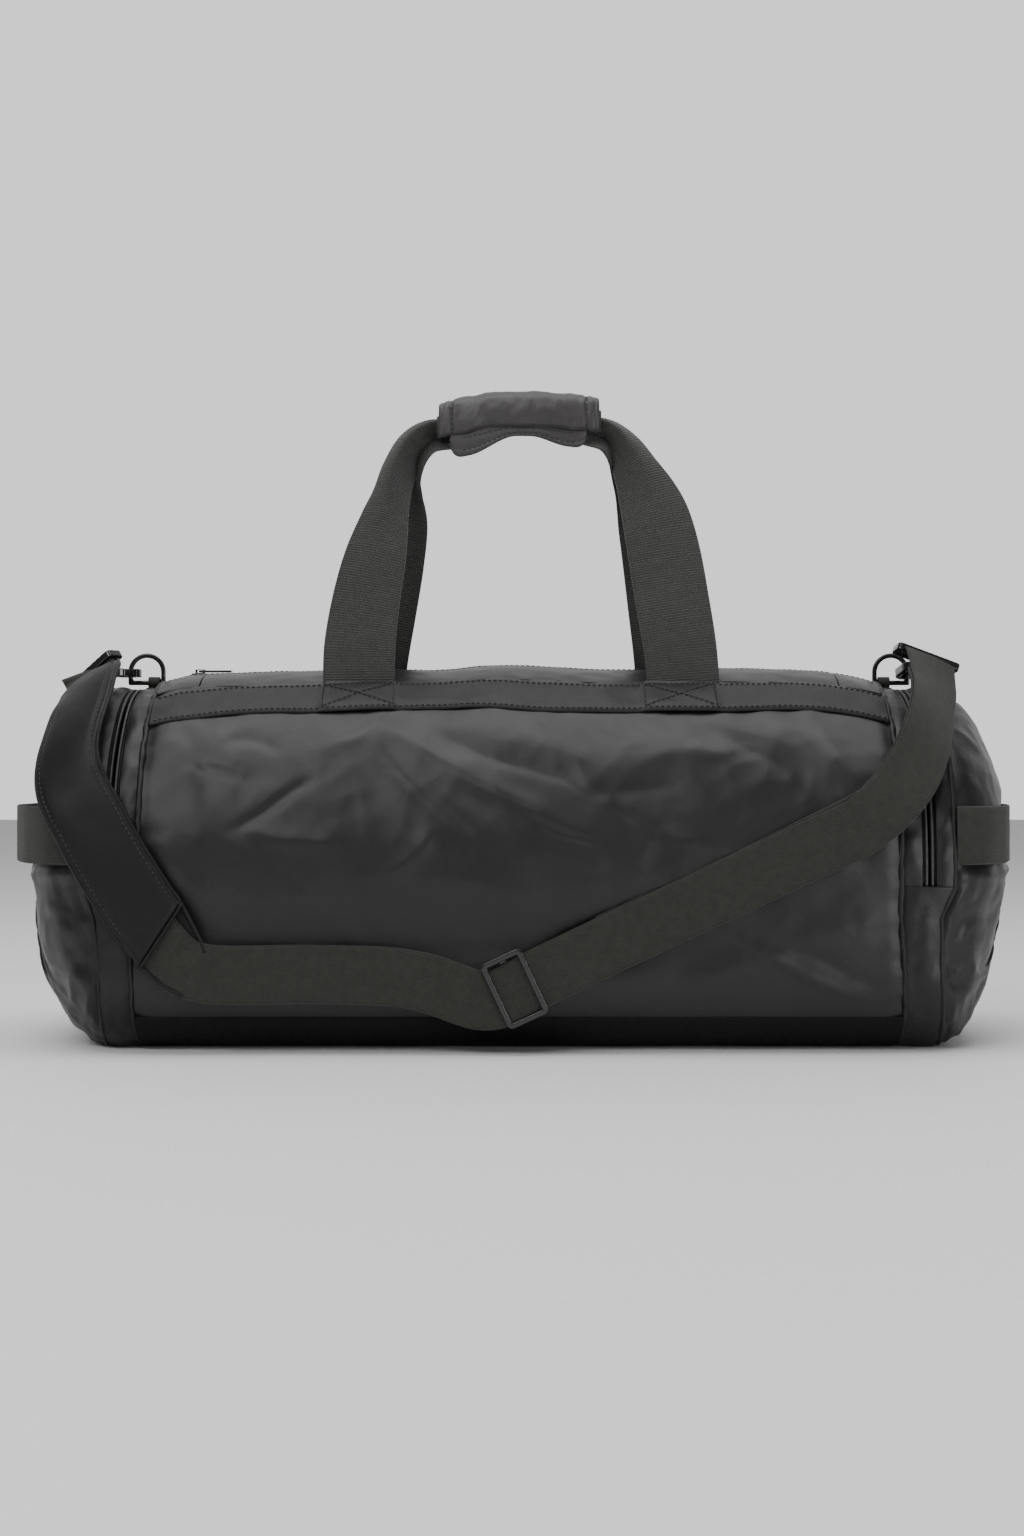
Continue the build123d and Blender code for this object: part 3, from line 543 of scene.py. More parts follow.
def crumple(x, s, seed, size, height):
    """Cloth-like crumples: sharp narrow ridges between smooth hollows."""
    bent = wobble(x, s, seed + 3, size * 1.6) * size * 0.5
    first = 1 - 2 * np.abs(wobble(x + bent, s * 0.8 - bent, seed, size))
    second = 1 - 2 * np.abs(wobble(x * 0.9 - bent, s + bent, seed + 1, size * 0.55))
    return height * (0.65 * first + 0.35 * second - 0.45)


# --- main compartment ---------------------------------------------------------------------------
# Folds of the front, as (x0, z0, x1, z1, width, height): a fan from the left handle's foot, short
# creases at the left and the middle, and pulls towards the lower right corner.
FRONT_FOLDS = [
    (-101, 226, 58, 137, 10, 2.2), (-94, 210, -22, 134, 8, -1.8), (-50, 216, 42, 180, 8, -2.0),
    (38, 180, 116, 178, 8, -1.4), (78, 197, 142, 207, 9, 1.3), (-13, 170, 60, 137, 3.5, -1.6),
    (64, 173, 104, 134, 6, -1.4), (62, 135, 120, 106, 8, 1.4), (-194, 154, -133, 187, 4, -1.5),
    (-228, 194, -168, 186, 6, -1.3), (-182, 152, -120, 138, 8, 1.6), (-205, 213, -163, 208, 6, -1.2),
    (-95, 117, -52, 153, 7, 1.3), (-140, 200, -96, 228, 7, 1.2), (-60, 120, 10, 104, 10, 1.2),
    (120, 50, 252, 92, 13, 1.8), (160, 78, 250, 44, 5, -1.3), (130, 84, 236, 36, 4, 1.1),
    (200, 218, 252, 168, 9, 1.5), (178, 200, 246, 120, 12, -1.6), (110, 222, 190, 196, 9, -1.2),
    (-250, 150, -212, 96, 10, 1.6), (-236, 224, -206, 168, 9, -1.2), (90, 150, 170, 128, 6, 1.1),
]
# The back's folds are the front's, nearer together, wider and lower.
BACK_FOLDS = [(-0.92 * x0, z0, -0.92 * x1, z1, 1.15 * w, 0.9 * h)
              for x0, z0, x1, z1, w, h in FRONT_FOLDS]


def panel(side):
    """The big side panel: sewn at its four edges, full and slightly creased between them."""
    name = "front" if side > 0 else "back"
    x = np.linspace(-TUBE_HALF, TUBE_HALF, 207)[None, :]
    s = np.linspace(56.0, TUBE_LOW + 3.0, 110)[:, None]
    flat = on_tube(x, side * s)
    z = flat[..., 2]
    edge_x = smooth((TUBE_HALF - np.abs(x)) / 26)
    edge_s = smooth((s - 92) / 26) * smooth((TUBE_LOW - s) / 22)
    held = edge_x * edge_s
    lift = 1.2 * creases(flat[..., 0], z, FRONT_FOLDS if side > 0 else BACK_FOLDS)
    lift = lift + crumple(x, s, 4 * side + 9, 95, 2.0) + crumple(x, s, 4 * side + 5, 36, 0.9)
    lift = lift + 2.4 * np.exp(-((z - 128) / 34) ** 2)
    lift = lift - 5.0 * np.exp(-((z - 78) / 20) ** 2) * smooth((150 - x) / 140)
    lift = lift * held
    # Small puckers run into the sewn edges.
    from_seam = TUBE_HALF - np.abs(x)
    pull = np.exp(-np.clip(from_seam, 0, None) / 13)
    lift = lift + 1.3 * pull * wobble(s, x * 0.15, 3 + side, 11) - 1.6 * np.exp(-(from_seam / 5) ** 2)
    pull = np.exp(-np.clip(s - 94, 0, None) / 15)
    lift = lift + 0.9 * pull * wobble(x, s * 0.12, 6 + side, 15)
    points = on_tube(x, side * s, lift)
    uvs = uv_grid(x, s)
    points, uvs = facing(side < 0, points, uvs)
    obj = thicken(subdivide(grid_object(f"{name}_side", points, NYLON, uvs)), 2.2)
    return place(obj, "bag", "body_nylon", f"{name}_panel")


def base():
    """The heavier base cloth, round both lower corners."""
    x = np.linspace(-TUBE_HALF, TUBE_HALF, 130)[None, :]
    s = np.linspace(TUBE_LOW - 1.5, 2 * TUBE_WAY - TUBE_LOW + 1.5, 96)[:, None]
    mirrored = from_top(s, TUBE_WAY)
    lift = 0.9 + 0.8 * wobble(x, s, 21, 46) * smooth((TUBE_HALF - np.abs(x)) / 20)
    lift = lift * smooth(np.minimum(s - TUBE_LOW, 2 * TUBE_WAY - TUBE_LOW - s) / 12 + 0.6)
    points = on_tube(x, mirrored, lift)
    points[..., 2] = np.maximum(points[..., 2], 0.25)
    uvs = uv_grid(x, s)
    obj = thicken(subdivide(grid_object("base_skin", points, BASE, uvs)), 2.2)
    return place(obj, "bag", "base_cloth", "base_panel")


def band_drop(x):
    """How far the band's sewn line wanders down the bag, in mm."""
    return 1.6 * np.sin(x / 47.0) + 1.4 * np.sin(x / 21.0 + 1.0) + 3.0 * smooth((np.abs(x) - 170) / 90)


BAND_NEAR, BAND_FAR = 61.0, 95.5


def band_surface(side):
    """A function for places on the band, raised where a handle's foot lies under it."""
    def surface(x, s, lift=0.0):
        x = np.asarray(x, float)
        puff = 0.7 * wobble(x, np.asarray(s, float) * 0.7, 31 + side, 24)
        foot = smooth((29 - np.abs(np.abs(x) - HANDLE_X)) / 5)
        return on_tube(x, side * (s + band_drop(x)), 2.6 + puff + 1.2 * foot + lift)
    return surface


def band(side):
    """The reinforcing band: its edges rolled under, sewn along both and boxed at each handle."""
    name = "front" if side > 0 else "back"
    surface = band_surface(side)
    x = np.linspace(-TUBE_HALF + 0.4, TUBE_HALF - 0.4, 260)[None, :]
    t = np.linspace(0, 1, 18)[:, None]
    s = BAND_NEAR + (BAND_FAR - BAND_NEAR) * t
    edge = np.minimum(t, 1 - t) * (BAND_FAR - BAND_NEAR)
    seam = -0.8 * np.exp(-((edge - 3.0) / 1.2) ** 2) - 2.0 * np.exp(-(edge / 0.8) ** 2)
    puff = 0.5 * np.exp(-((edge - 1.4) / 1.0) ** 2)
    puff = puff + 0.9 * smooth((edge - 4) / 8) * wobble(x, s, 35 + side, 17)
    points = surface(x, s, seam + puff)
    uvs = uv_grid(x, s)
    points, uvs = facing(side < 0, points, uvs)
    obj = thicken(subdivide(grid_object(f"{name}_band_cloth", points, TRIM, uvs)), 1.6)
    place(obj, "bag", "trim_cloth", f"{name}_band")
    rows = []
    for s0 in (BAND_NEAR + 3.0, BAND_FAR - 3.0):
        rows.append(sewn_row(surface, -TUBE_HALF + 2, s0, TUBE_HALF - 2, s0, -0.15))
    for middle in (-HANDLE_X, HANDLE_X):
        low, high = middle - 25.0, middle + 25.0
        near, far = BAND_NEAR + 4.0, BAND_FAR - 4.0
        for ends in ((low, near, low, far), (high, near, high, far), (low, near, high, far),
                     (low, far, high, near)):
            rows.append(sewn_row(surface, *ends, 0.75))
    thread = stitches(f"{name}_band_thread", rows)
    place(thread, "bag", "trim_cloth")
    for end, middle in (("left", -HANDLE_X), ("right", HANDLE_X)):
        foot_s = np.linspace(58, BAND_FAR - 2, 60)
        at = on_tube(middle, side * foot_s, 1.1)
        out = unit(on_tube(middle, side * foot_s, 2.1) - at)
        across = np.tile([1.0, 0, 0], (60, 1))
        foot = ribbon(f"{name}_{end}_foot", at, out, across, 49, 1.6, HANDLE_WEB, rib=1.7, depth=0.3)
        place(foot, "bag", "handle_webbing", f"{name}_handle_feet")


def seam_roll(side_x):
    """The bound seam between the main compartment and an end, puckered where it is sewn."""
    s = np.linspace(0, 2 * TUBE_WAY, 620, endpoint=False)
    s = from_top(s, TUBE_WAY)
    line = on_tube(np.full(s.shape, side_x * (TUBE_HALF + 1.2)), s, -2.0 + 0.8 * wobble(s, s * 0, 41, 14))
    line[:, 0] += side_x * 0.9 * wobble(s, s * 0, 43, 12)
    line[:, 2] = np.maximum(line[:, 2], 3.2)
    end = "left" if side_x < 0 else "right"
    obj = roll(f"{end}_bound_seam", line, 2.3, TRIM, sides=10, pucker=0.35, pitch=6, closed=True)
    return place(obj, "bag", "trim_cloth")


for side in (1, -1):
    panel(side)
    band(side)
    seam_roll(side)
base()


# --- the opening --------------------------------------------------------------------------------
LIP_NEAR = math.radians(2.9) * TUBE_RADIUS
LIP_FAR = math.radians(24.5) * TUBE_RADIUS
LIP_HALF = 227.0
COIL_PITCH = 1.5


def coil(name, middle, radius, body, slot, *nodes):
    """One half of a zip: a nylon coil, its turns showing as rounded teeth."""
    run = lengths(middle)
    at = np.arange(0, run[-1], COIL_PITCH / 4)
    line = np.stack([np.interp(at, run, middle[:, k]) for k in range(3)], 1)
    obj = roll(name, line, radius, COIL, sides=8)
    points = np.array([v.co for v in obj.data.vertices]).reshape(len(line), 8, 3)
    swell = 0.80 + 0.24 * np.abs(np.sin(math.pi * at / COIL_PITCH))[:, None, None]
    centre = line[:, None] * MM
    obj.data.vertices.foreach_set("co", (centre + (points - centre) * swell).ravel())
    return place(obj, body, slot, *nodes)


def lip_surface(side):
    """A function for places on the cloth beside the main zip, a little uneven."""
    def surface(x, s, lift=0.0):
        x = np.asarray(x, float)
        s = np.asarray(s, float)
        roll_in = 0.6 * wobble(x, s, 51 + side, 30) + 0.5 * wobble(x, s, 53 + side, 12)
        return on_tube(x, side * s, roll_in * smooth((s - LIP_NEAR) / 6) + lift)
    return surface


def lip(name, side, x0, x1, body, slot, tape_name, *nodes):
    """Cloth beside the main zip, folded under along the coil and sewn to its tape."""
    surface = lip_surface(side)
    x = np.linspace(x0, x1, max(8, int((x1 - x0) / 3.2)))[None, :]
    s = np.r_[LIP_NEAR, LIP_NEAR + 0.5, np.linspace(LIP_NEAR + 1.6, LIP_FAR, 20)][:, None]
    groove = -0.6 * np.exp(-((s - LIP_NEAR - 7) / 1.4) ** 2) - 1.2 * np.exp(-((s - LIP_NEAR) / 0.6) ** 2)
    points = surface(x, s, groove)
    uvs = uv_grid(x, s)
    points, uvs = facing(side < 0, points, uvs)
    cloth = thicken(subdivide(grid_object(name, points, NYLON, uvs)), 1.8)
    place(cloth, body, slot, *nodes)
    rows = [sewn_row(surface, x0 + 1, LIP_NEAR + 7, x1 - 1, LIP_NEAR + 7, -0.4)]
    place(stitches(f"{name}_thread", rows), body, slot)
    s = np.linspace(3.4, 17.0, 9)[:, None]
    tape = on_tube(x, side * s, -3.9)
    uvs = uv_grid(x, s)
    tape, uvs = facing(side < 0, tape, uvs)
    place(thicken(grid_object(tape_name, tape, TAPE, uvs), 0.8, 0.0), body, "zip_coil")


def opening():
    """Both lips of the main zip with their coils, and the zip's fixed ends."""
    for name, side in (("front", 1), ("back", -1)):
        body = f"{name}_lip_body"
        lip(f"{name}_lip_cloth", side, -LIP_HALF, LIP_HALF, body, "body_nylon", f"{name}_lip_tape",
            f"{name}_lip")
        line = on_tube(np.linspace(-LIP_HALF, LIP_HALF, 90), np.full(90, side * 2.2), -3.8)
        coil(f"{name}_lip_coil", line, 1.35, body, "zip_coil", f"{name}_lip_zip")
        for end, x0, x1 in (("left", -TUBE_HALF, -LIP_HALF - 1), ("right", LIP_HALF + 1, TUBE_HALF)):
            lip(f"{end}_{name}_opening_cloth", side, x0, x1, "bag", "body_nylon",
                f"{end}_{name}_opening_tape", "opening_ends")
            line = on_tube(np.linspace(x0, x1, 12), np.full(12, side * 2.2), -3.8)
            coil(f"{end}_{name}_opening_coil", line, 1.35, "bag", "zip_coil", "opening_end_zip")


# --- the inside ---------------------------------------------------------------------------------
def inside():
    """The lining, hanging a little slack inside the panels, and the two partition walls."""
    x = np.linspace(-250, 250, 90)[None, :]
    s = np.linspace(64, 2 * TUBE_WAY - 64, 130)[:, None]
    mirrored = from_top(s, TUBE_WAY)
    slack = 1.2 * wobble(x, s, 61, 50)
    points = on_tube(x, mirrored, -7.4 - np.abs(slack))
    uvs = uv_grid(x, s)
    place(thicken(grid_object("lining_cloth", points, LINING, uvs), 0.7), "bag", "lining", "main_lining")
    for end, sign in (("left", -1), ("right", 1)):
        around = np.linspace(0, 2 * TUBE_WAY, 120, endpoint=False)[None, :]
        around = from_top(around, TUBE_WAY)
        share = np.linspace(0.02, 0.965, 22)[:, None]
        edge = on_tube(np.full(around.shape, sign * 248.0), around, 0.0)[0][None]
        middle = np.array([0.0, 126.0])
        flat = middle + (edge[..., 1:] - middle) * share[..., None]
        dip = 1.6 * wobble(flat[..., 0], flat[..., 1], 65 + sign, 60) * (1 - share)
        points = np.stack([sign * (256.0 + dip), flat[..., 0], np.minimum(flat[..., 1], 241)], -1)
        uvs = flat / UV_UNIT
        wall = grid_object(f"{end}_partition", points, LINING, uvs, wrap_cols=True)
        place(thicken(wall, 1.4, 0.0), "bag", "lining", f"{end}_end_wall")


# --- the two ends -------------------------------------------------------------------------------
SPLIT_Z = 147.5


def gusset(end, sign, part, near, far, seed):
    """A strip of cloth round the end, above the zip's ends."""
    s = np.linspace(-END_ZIP_LOW, END_ZIP_LOW, 240)[:, None]
    x = np.linspace(near, far, 10)[None, :]
    t = (x - near) / (far - near)
    belly = np.sin(math.pi * t)
    lift = 1.4 * belly * (0.6 + wobble(s, x * 0.4, seed, 22)) + 0.7 * wobble(s, x, seed + 1, 9) * belly
    points = on_end(sign * x, s, lift)
    points[..., 0] += sign * 1.0 * belly * wobble(s, x * 0, seed + 2, 15)
    uvs = uv_grid(s, x)
    points, uvs = facing(sign > 0, points, uvs)
    cloth = thicken(subdivide(grid_object(f"{end}_{part}", points, END_NYLON, uvs)), 1.8)
    place(cloth, "bag", "body_nylon", f"{end}_gusset_{part.split('_')[0]}")


def gusset_low(end, sign):
    """The deep strip below the zip, round the bottom of the end."""
    s = np.linspace(END_ZIP_LOW - 0.5, 2 * END_WAY - END_ZIP_LOW + 0.5, 200)[:, None]
    mirrored = from_top(s, END_WAY)
    x = np.linspace(TUBE_HALF + 0.5, GUSSET_EDGE, 20)[None, :]
    t = (x - TUBE_HALF - 0.5) / (295.0 - TUBE_HALF)
    belly = np.sin(math.pi * np.clip(t, 0, 1))
    lift = belly * (1.6 + 2.2 * wobble(s, x * 0.5, 71 + sign, 30) + 1.0 * wobble(s, x, 72 + sign, 12))
    points = on_end(sign * x, mirrored, lift)
    points[..., 2] = np.maximum(points[..., 2], 0.4)
    uvs = uv_grid(s, x)
    points, uvs = facing(sign > 0, points, uvs)
    cloth = thicken(subdivide(grid_object(f"{end}_lower_gusset", points, END_NYLON, uvs)), 1.8)
    place(cloth, "bag", "body_nylon", f"{end}_gusset_lower")


def end_zip(end, sign):
    """Both tapes of the arched zip, the sewing along them, and its two coils."""
    s = np.linspace(-END_ZIP_LOW + 1, END_ZIP_LOW - 1, 300)
    for part, near, far, at in (("inner", ZIP_X - 5.2, ZIP_X - 0.9, ZIP_X - 2.0),
                                ("outer", ZIP_X + 0.9, ZIP_X + 5.2, ZIP_X + 2.0)):
        x = np.linspace(near, far, 4)[None, :]
        tape = on_end(sign * x, s[:, None], -1.0)
        uvs = uv_grid(s[:, None], x)
        place(thicken(grid_object(f"{end}_{part}_tape", tape, TAPE, uvs), 0.9, 0.0), "bag", "zip_coil",
              f"{end}_end_zip")
        line = on_end(np.full(s.shape, sign * at), s, 0.5)
        coil(f"{end}_{part}_coil", line, 1.25, "bag", "zip_coil", f"{end}_end_zip")
    for place_x, part in ((ZIP_X - 5.6, "inner"), (ZIP_X + 5.6, "outer")):
        line = on_end(np.full(s.shape, sign * place_x), s, 0.4)
        place(roll(f"{end}_{part}_zip_fold", line, 1.2, TRIM, pucker=0.3, pitch=5), "bag", "trim_cloth")
    for place_y, side in (("front", 1), ("back", -1)):
        s = np.linspace(down_to(112.0, END_RADIUS, END_AXIS), down_to(98.0, END_RADIUS, END_AXIS), 12)
        x = np.linspace(ZIP_X - 8, ZIP_X + 8, 14)[None, :]
        round_off = 1.6 * (1 - ((x - ZIP_X) / 8) ** 2)
        points = on_end(sign * x, side * s[:, None], 0.8 + round_off)
        if side * sign > 0:
            points = points[::-1]
        uvs = uv_grid(s[:, None], x)
        tab = thicken(subdivide(grid_object(f"{end}_{place_y}_zip_tab", points, TRIM, uvs)), 1.0)
        place(tab, "bag", "trim_cloth", f"{end}_zip_tabs")


def dome_points(sign, rows, cols, puff):
    """The rounded end as a grid: around its outline, and in from the piping to the middle."""
    around = np.linspace(0, 2 * END_WAY, cols, endpoint=False)
    around = from_top(around, END_WAY)
    edge = on_end(np.zeros(cols), around, 0.0)[:, 1:]
    normal = on_end(np.zeros(cols), around, 1.0)[:, 1:] - edge
    arc = math.pi / 2 * DOME_EDGE
    reach = 1.0 + arc + 62.0
    q = np.linspace(0, reach, rows)[:, None]
    turn = np.clip((q - 1.0) / DOME_EDGE, 0, math.pi / 2)
    inset = DOME_EDGE * (1 - np.cos(turn))
    x = DOME_START + np.minimum(q, 1.0) + DOME_EDGE * np.sin(turn)
    ring = edge[None] - normal[None] * inset[..., None]
    share = np.clip((q - 1.0 - arc) / 62.0, 0, 1)
    middle = np.array([0.0, 122.0])
    ring = ring + (middle - ring) * share[..., None] * 0.985
    points = np.concatenate([np.broadcast_to(x, (rows, cols))[..., None], ring], -1)
    out = np.stack([np.broadcast_to(np.sin(turn), (rows, cols)), np.cos(turn) * normal[:, 0],
                    np.cos(turn) * normal[:, 1]], -1)
    points = points + out * puff(q, around, points)[..., None]
    points[..., 0] *= sign
    return points, q, around


def cut_at(obj, height, keep_above):
    """Keep only the part of a mesh above or below a height."""
    bm = bmesh.new()
    bm.from_mesh(obj.data)
    parts = bm.verts[:] + bm.edges[:] + bm.faces[:]
    bmesh.ops.bisect_plane(bm, geom=parts, plane_co=(0, 0, height * MM), plane_no=(0, 0, 1),
                           clear_inner=keep_above, clear_outer=not keep_above)
    bm.to_mesh(obj.data)
    bm.free()
    return obj


# How far each end reaches out at a height, as a share of the CAD's rounded end.
REACH = {
    "left": ([0, 24, 45, 68, 97, 134, 178, 214, 244, 250],
             [0.62, 0.72, 0.84, 0.95, 1.02, 1.02, 0.93, 0.84, 1.0, 1.0]),
    "right": ([0, 9, 30, 53, 97, 134, 178, 214, 244, 250],
              [0.66, 0.70, 0.74, 0.82, 0.98, 1.03, 0.98, 0.84, 0.84, 0.84]),
}
# Seen from above the ends are rounder too: away from the middle they lose y squared over this.
PLAN_ROUNDING = 33000.0


def dome(end, sign):
    """The rounded end: a smooth upper panel, and a fuller lower pocket that sags in folds."""
    def shaped(points):
        heights, shares = REACH[end]
        share = np.interp(points[..., 2], heights, shares) * (1 - points[..., 1] ** 2 / PLAN_ROUNDING)
        points[..., 0] = sign * (DOME_START + (np.abs(points[..., 0]) - DOME_START) * share)
        return points

    def upper(q, around, at):
        held = smooth(q / 14)
        folds = 3.4 * crumple(around * 1.2, q * 0.8, 81 + sign, 70, 1.0)
        folds = folds + 1.6 * crumple(around, q, 83 + sign, 30, 1.0)
        under = 1 - 0.85 * np.exp(-((at[..., 2] - 150) / 24) ** 2)
        return (folds + 1.5 * wobble(around, q, 84 + sign, 90)) * under * held - 1.2 * held

    def lower(q, around, at):
        held = smooth(q / 10)
        drop = smooth((SPLIT_Z - at[..., 2]) / 50)
        pleats = 3.4 * wobble(at[..., 1], at[..., 2] * 0.22, 91 + sign, 15) * (1 - 0.6 * drop)
        folds = 5.0 * crumple(around, q * 0.9, 86 + sign, 60, 1.0)
        folds = folds + 2.4 * crumple(around, q, 88 + sign, 26, 1.0)
        under = 1 - 0.8 * np.exp(-((at[..., 2] - 150) / 20) ** 2)
        hem = 2.6 * np.exp(-((at[..., 2] - 121) / 4.5) ** 2)
        return ((pleats + folds) * under + hem) * held - 1.2 * held

    pieces = (("upper", upper, True, f"{end}_end_upper"), ("pocket", lower, False, f"{end}_end_pocket"))
    for part, puff, above, node_name in pieces:
        points, q, around = dome_points(sign, 66, 280, puff)
        points = shaped(points)
        points[..., 2] = np.maximum(points[..., 2], 0.3)
        uvs = uv_grid(around[None], q)
        if sign > 0:
            points, uvs = points[:, ::-1], uvs[:, ::-1]
        cloth = grid_object(f"{end}_{part}_cloth", points, END_NYLON, uvs, wrap_cols=True)
        cut_at(cloth, SPLIT_Z + (-0.4 if above else 0.4), above)
        place(thicken(cloth, 2.0), "bag", "body_nylon", node_name)

    # The pocket's top edge is turned over and sewn across the end.
    points = shaped(dome_points(sign, 58, 250, lower)[0])
    edge = []
    for y in np.linspace(-126, 126, 150):
        near = np.hypot(points[..., 1] - y, points[..., 2] - SPLIT_Z)
        near = near + 1000 * (np.abs(points[..., 2] - SPLIT_Z) > 8)
        edge.append(points[np.unravel_index(np.argmin(near), near.shape)])
    edge = np.array(edge)
    edge[:, 2] = SPLIT_Z
    edge = spline(edge[::6], 200)
    place(roll(f"{end}_pocket_hem", edge, 1.7, TRIM, pucker=0.3, pitch=7), "bag", "trim_cloth")

    # The piping runs all round the seam that the end starts from.
    s = np.linspace(0, 2 * END_WAY, 560, endpoint=False)
    s = from_top(s, END_WAY)
    line = on_end(np.full(s.shape, sign * 296.3), s, 0.9 + 0.5 * wobble(s, s * 0, 93 + sign, 16))
    line[:, 0] += sign * 1.2 * wobble(s, s * 0, 95 + sign, 30)
    line[:, 2] = np.maximum(line[:, 2], 2.6)
    place(roll(f"{end}_piping_cord", line, 2.0, TRIM, sides=10, pucker=0.25, pitch=8, closed=True),
          "bag", "trim_cloth", f"{end}_piping")


def grab_handle(end, sign):
    """Webbing over the rounded end, sewn in at the piping: pushed out at the left, flat at the right."""
    bulge = 11.0 if sign < 0 else 2.6
    stations = []
    for y, x, out in ((-126.5, 297, (0, -1, 0)), (-126.0, 305, (0.15, -1, 0)), (-118, 319, (0.6, -0.8, 0)),
                      (-104, 329.5, (0.75, -0.6, 0)), (-84, 338, (0.9, -0.4, 0)), (-45, 347, (1, -0.2, 0)),
                      (0, 350.5, (1, 0, 0))):
        push = bulge * math.exp(-((y + 40) / 75) ** 2)
        stations.append(((sign * (x + push), y, 148), (sign * out[0], out[1], 0)))
    mirrored = [((p[0], -p[1], p[2]), (n[0], -n[1], 0)) for p, n in reversed(stations[:-1])]
    middle, _, out, across = frames(stations + mirrored, 0.45)
    obj = ribbon(f"{end}_grab_webbing", middle, out, across, 40, 1.7, STRAP_WEB, cols=12, rib=1.8,
                 depth=0.22)
    place(obj, "bag", "strap_webbing", f"{end}_grab_handle")


opening()
inside()
for end, sign in (("left", -1), ("right", 1)):
    gusset(end, sign, "inner_gusset", TUBE_HALF + 0.5, ZIP_X - 5.0, 73)
    gusset(end, sign, "outer_gusset", ZIP_X + 5.0, GUSSET_EDGE, 77)
    gusset_low(end, sign)
    end_zip(end, sign)
    dome(end, sign)
    grab_handle(end, sign)


# --- carry handles ------------------------------------------------------------------------------
HINGE_Y, HINGE_Z = 57.26, 252.04
GRIP_Y, GRIP_Z = 6.5, 455.0
# Each leg's line up from the hinge: place along the bag, distance up the sheet, width as it shows,
# how far the webbing is folded lengthwise, and how far it leans out of the sheet.
LEGS = {
    ("front", "left"): [(114, -1, 50, 0, 0), (113.5, 30, 50, 0, 1), (109.5, 65, 47.5, 0.05, 2.5),
                        (103, 100, 43, 0.15, 2.5), (97.5, 128, 34, 0.40, 1), (93, 148, 27, 0.62, 0),
                        (88, 168, 24, 0.75, 0), (79, 187, 22, 0.88, 0), (66, 197, 20, 0.96, 0),
                        (50, 199, 17, 1, 0)],
    ("front", "right"): [(117, -1, 50, 0, 0), (114.5, 30, 51, 0, 1), (109.5, 65, 52, 0, 2),
                         (104.5, 100, 51.5, 0.04, 2), (99, 128, 48.5, 0.10, 1), (93, 148, 42, 0.26, 0),
                         (86, 166, 33, 0.5, 0), (77.5, 184, 26, 0.75, 0), (66, 197, 20, 0.92, 0),
                         (50, 202, 17, 1, 0)],
    ("back", "left"): [(113, -1, 50, 0, 0), (108, 32, 50, 0, 0), (102, 65, 50, 0.03, 0),
                       (95, 100, 48, 0.08, 0), (89, 128, 42, 0.22, 0), (88, 150, 34, 0.45, 0),
                       (85, 166, 27, 0.65, 0), (77, 182, 22, 0.85, 0), (66, 192, 19, 0.95, 0),
                       (50, 195, 15, 1, 0)],
    ("back", "right"): [(115, -1, 50, 0, 0), (112, 30, 50, 0, 0), (108, 65, 51, 0, 0),
                        (104, 100, 52, 0.03, 0), (98, 128, 48, 0.10, 0), (92, 148, 41, 0.28, 0),
                        (85, 164, 33, 0.5, 0), (77, 181, 26, 0.75, 0), (66, 193, 19, 0.92, 0),
                        (50, 197, 15, 1, 0)],
}


def handle_leg(handle, end, side, sign, seed):
    """One leg of a handle: flat webbing below, folded lengthwise where it goes into the wrap."""
    lean = unit([0.0, side * (HINGE_Y - GRIP_Y), GRIP_Z - HINGE_Z])
    foot = np.array([0.0, -side * HINGE_Y, HINGE_Z])
    out = np.array([0.0, -side * lean[2], side * lean[1]])
    rows = spline(np.array(LEGS[handle, end], float)[:, [0, 1, 4, 2, 3]], 620)
    x, up, sway, width, fold = rows.T
    sway = sway + 1.2 * wobble(up, up * 0, seed, 55) * smooth(up / 30) * smooth((206 - up) / 40)
    middle = np.stack([sign * x, foot[1] + lean[1] * up + out[1] * sway,
                       foot[2] + lean[2] * up + out[2] * sway], 1)
    along = unit(np.gradient(middle, axis=0))
    across = unit(np.cross(np.broadcast_to(out, along.shape), along)) * side
    face = np.cross(along, across) * side
    cols = 26
    u = np.linspace(-1, 1, cols)
    run = lengths(middle)
    rib = 0.3 * (np.sin(2 * math.pi * run / 1.9) - 1)[:, None]
    loop_u = np.r_[u, 1.02, u[::-1], -1.02][None, :]
    face_side = np.r_[np.ones(cols), 0.0, -np.ones(cols), 0.0][None, :]
    flat = loop_u * width[:, None] / 2
    folded = fold[:, None] * 19.0 * np.abs(loop_u + 0.25 * sign) ** 1.5
    ridge_line = 1.5 * wobble(up, up * 0, seed + 3, 34)[:, None] * loop_u * (1 - fold[:, None])
    cup = 1.6 * smooth(run[:, None] / 60) * loop_u**2 * (1 - fold[:, None])
    high = face_side * (1.15 + rib) - folded - cup + ridge_line
    points = middle[:, None] + across[:, None] * flat[..., None] + face[:, None] * high[..., None]
    count = points.shape[1]
    uvs = uv_grid(run[:, None], loop_u * 25)
    faces = tube_faces(len(middle), count)
    name = f"{handle}_{end}_leg"
    obj = tidy_normals(mesh_object(name, points.reshape(-1, 3), faces, HANDLE_WEB, uvs.reshape(-1, 2)))
    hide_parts(f"{handle}_handle")
    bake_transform(obj)


def tidy_normals(obj):
    """Turn all faces of a closed mesh outward."""
    bm = bmesh.new()
    bm.from_mesh(obj.data)
    bmesh.ops.recalc_face_normals(bm, faces=bm.faces)
    bm.to_mesh(obj.data)
    bm.free()
    return obj


def wrap_arch(x):
    """The wrap's line along the bag: highest in the middle, drooping most at the left."""
    return -2.5 - np.where(x < 0, 9.0, 4.5) * (np.abs(x) / 58.0) ** 2


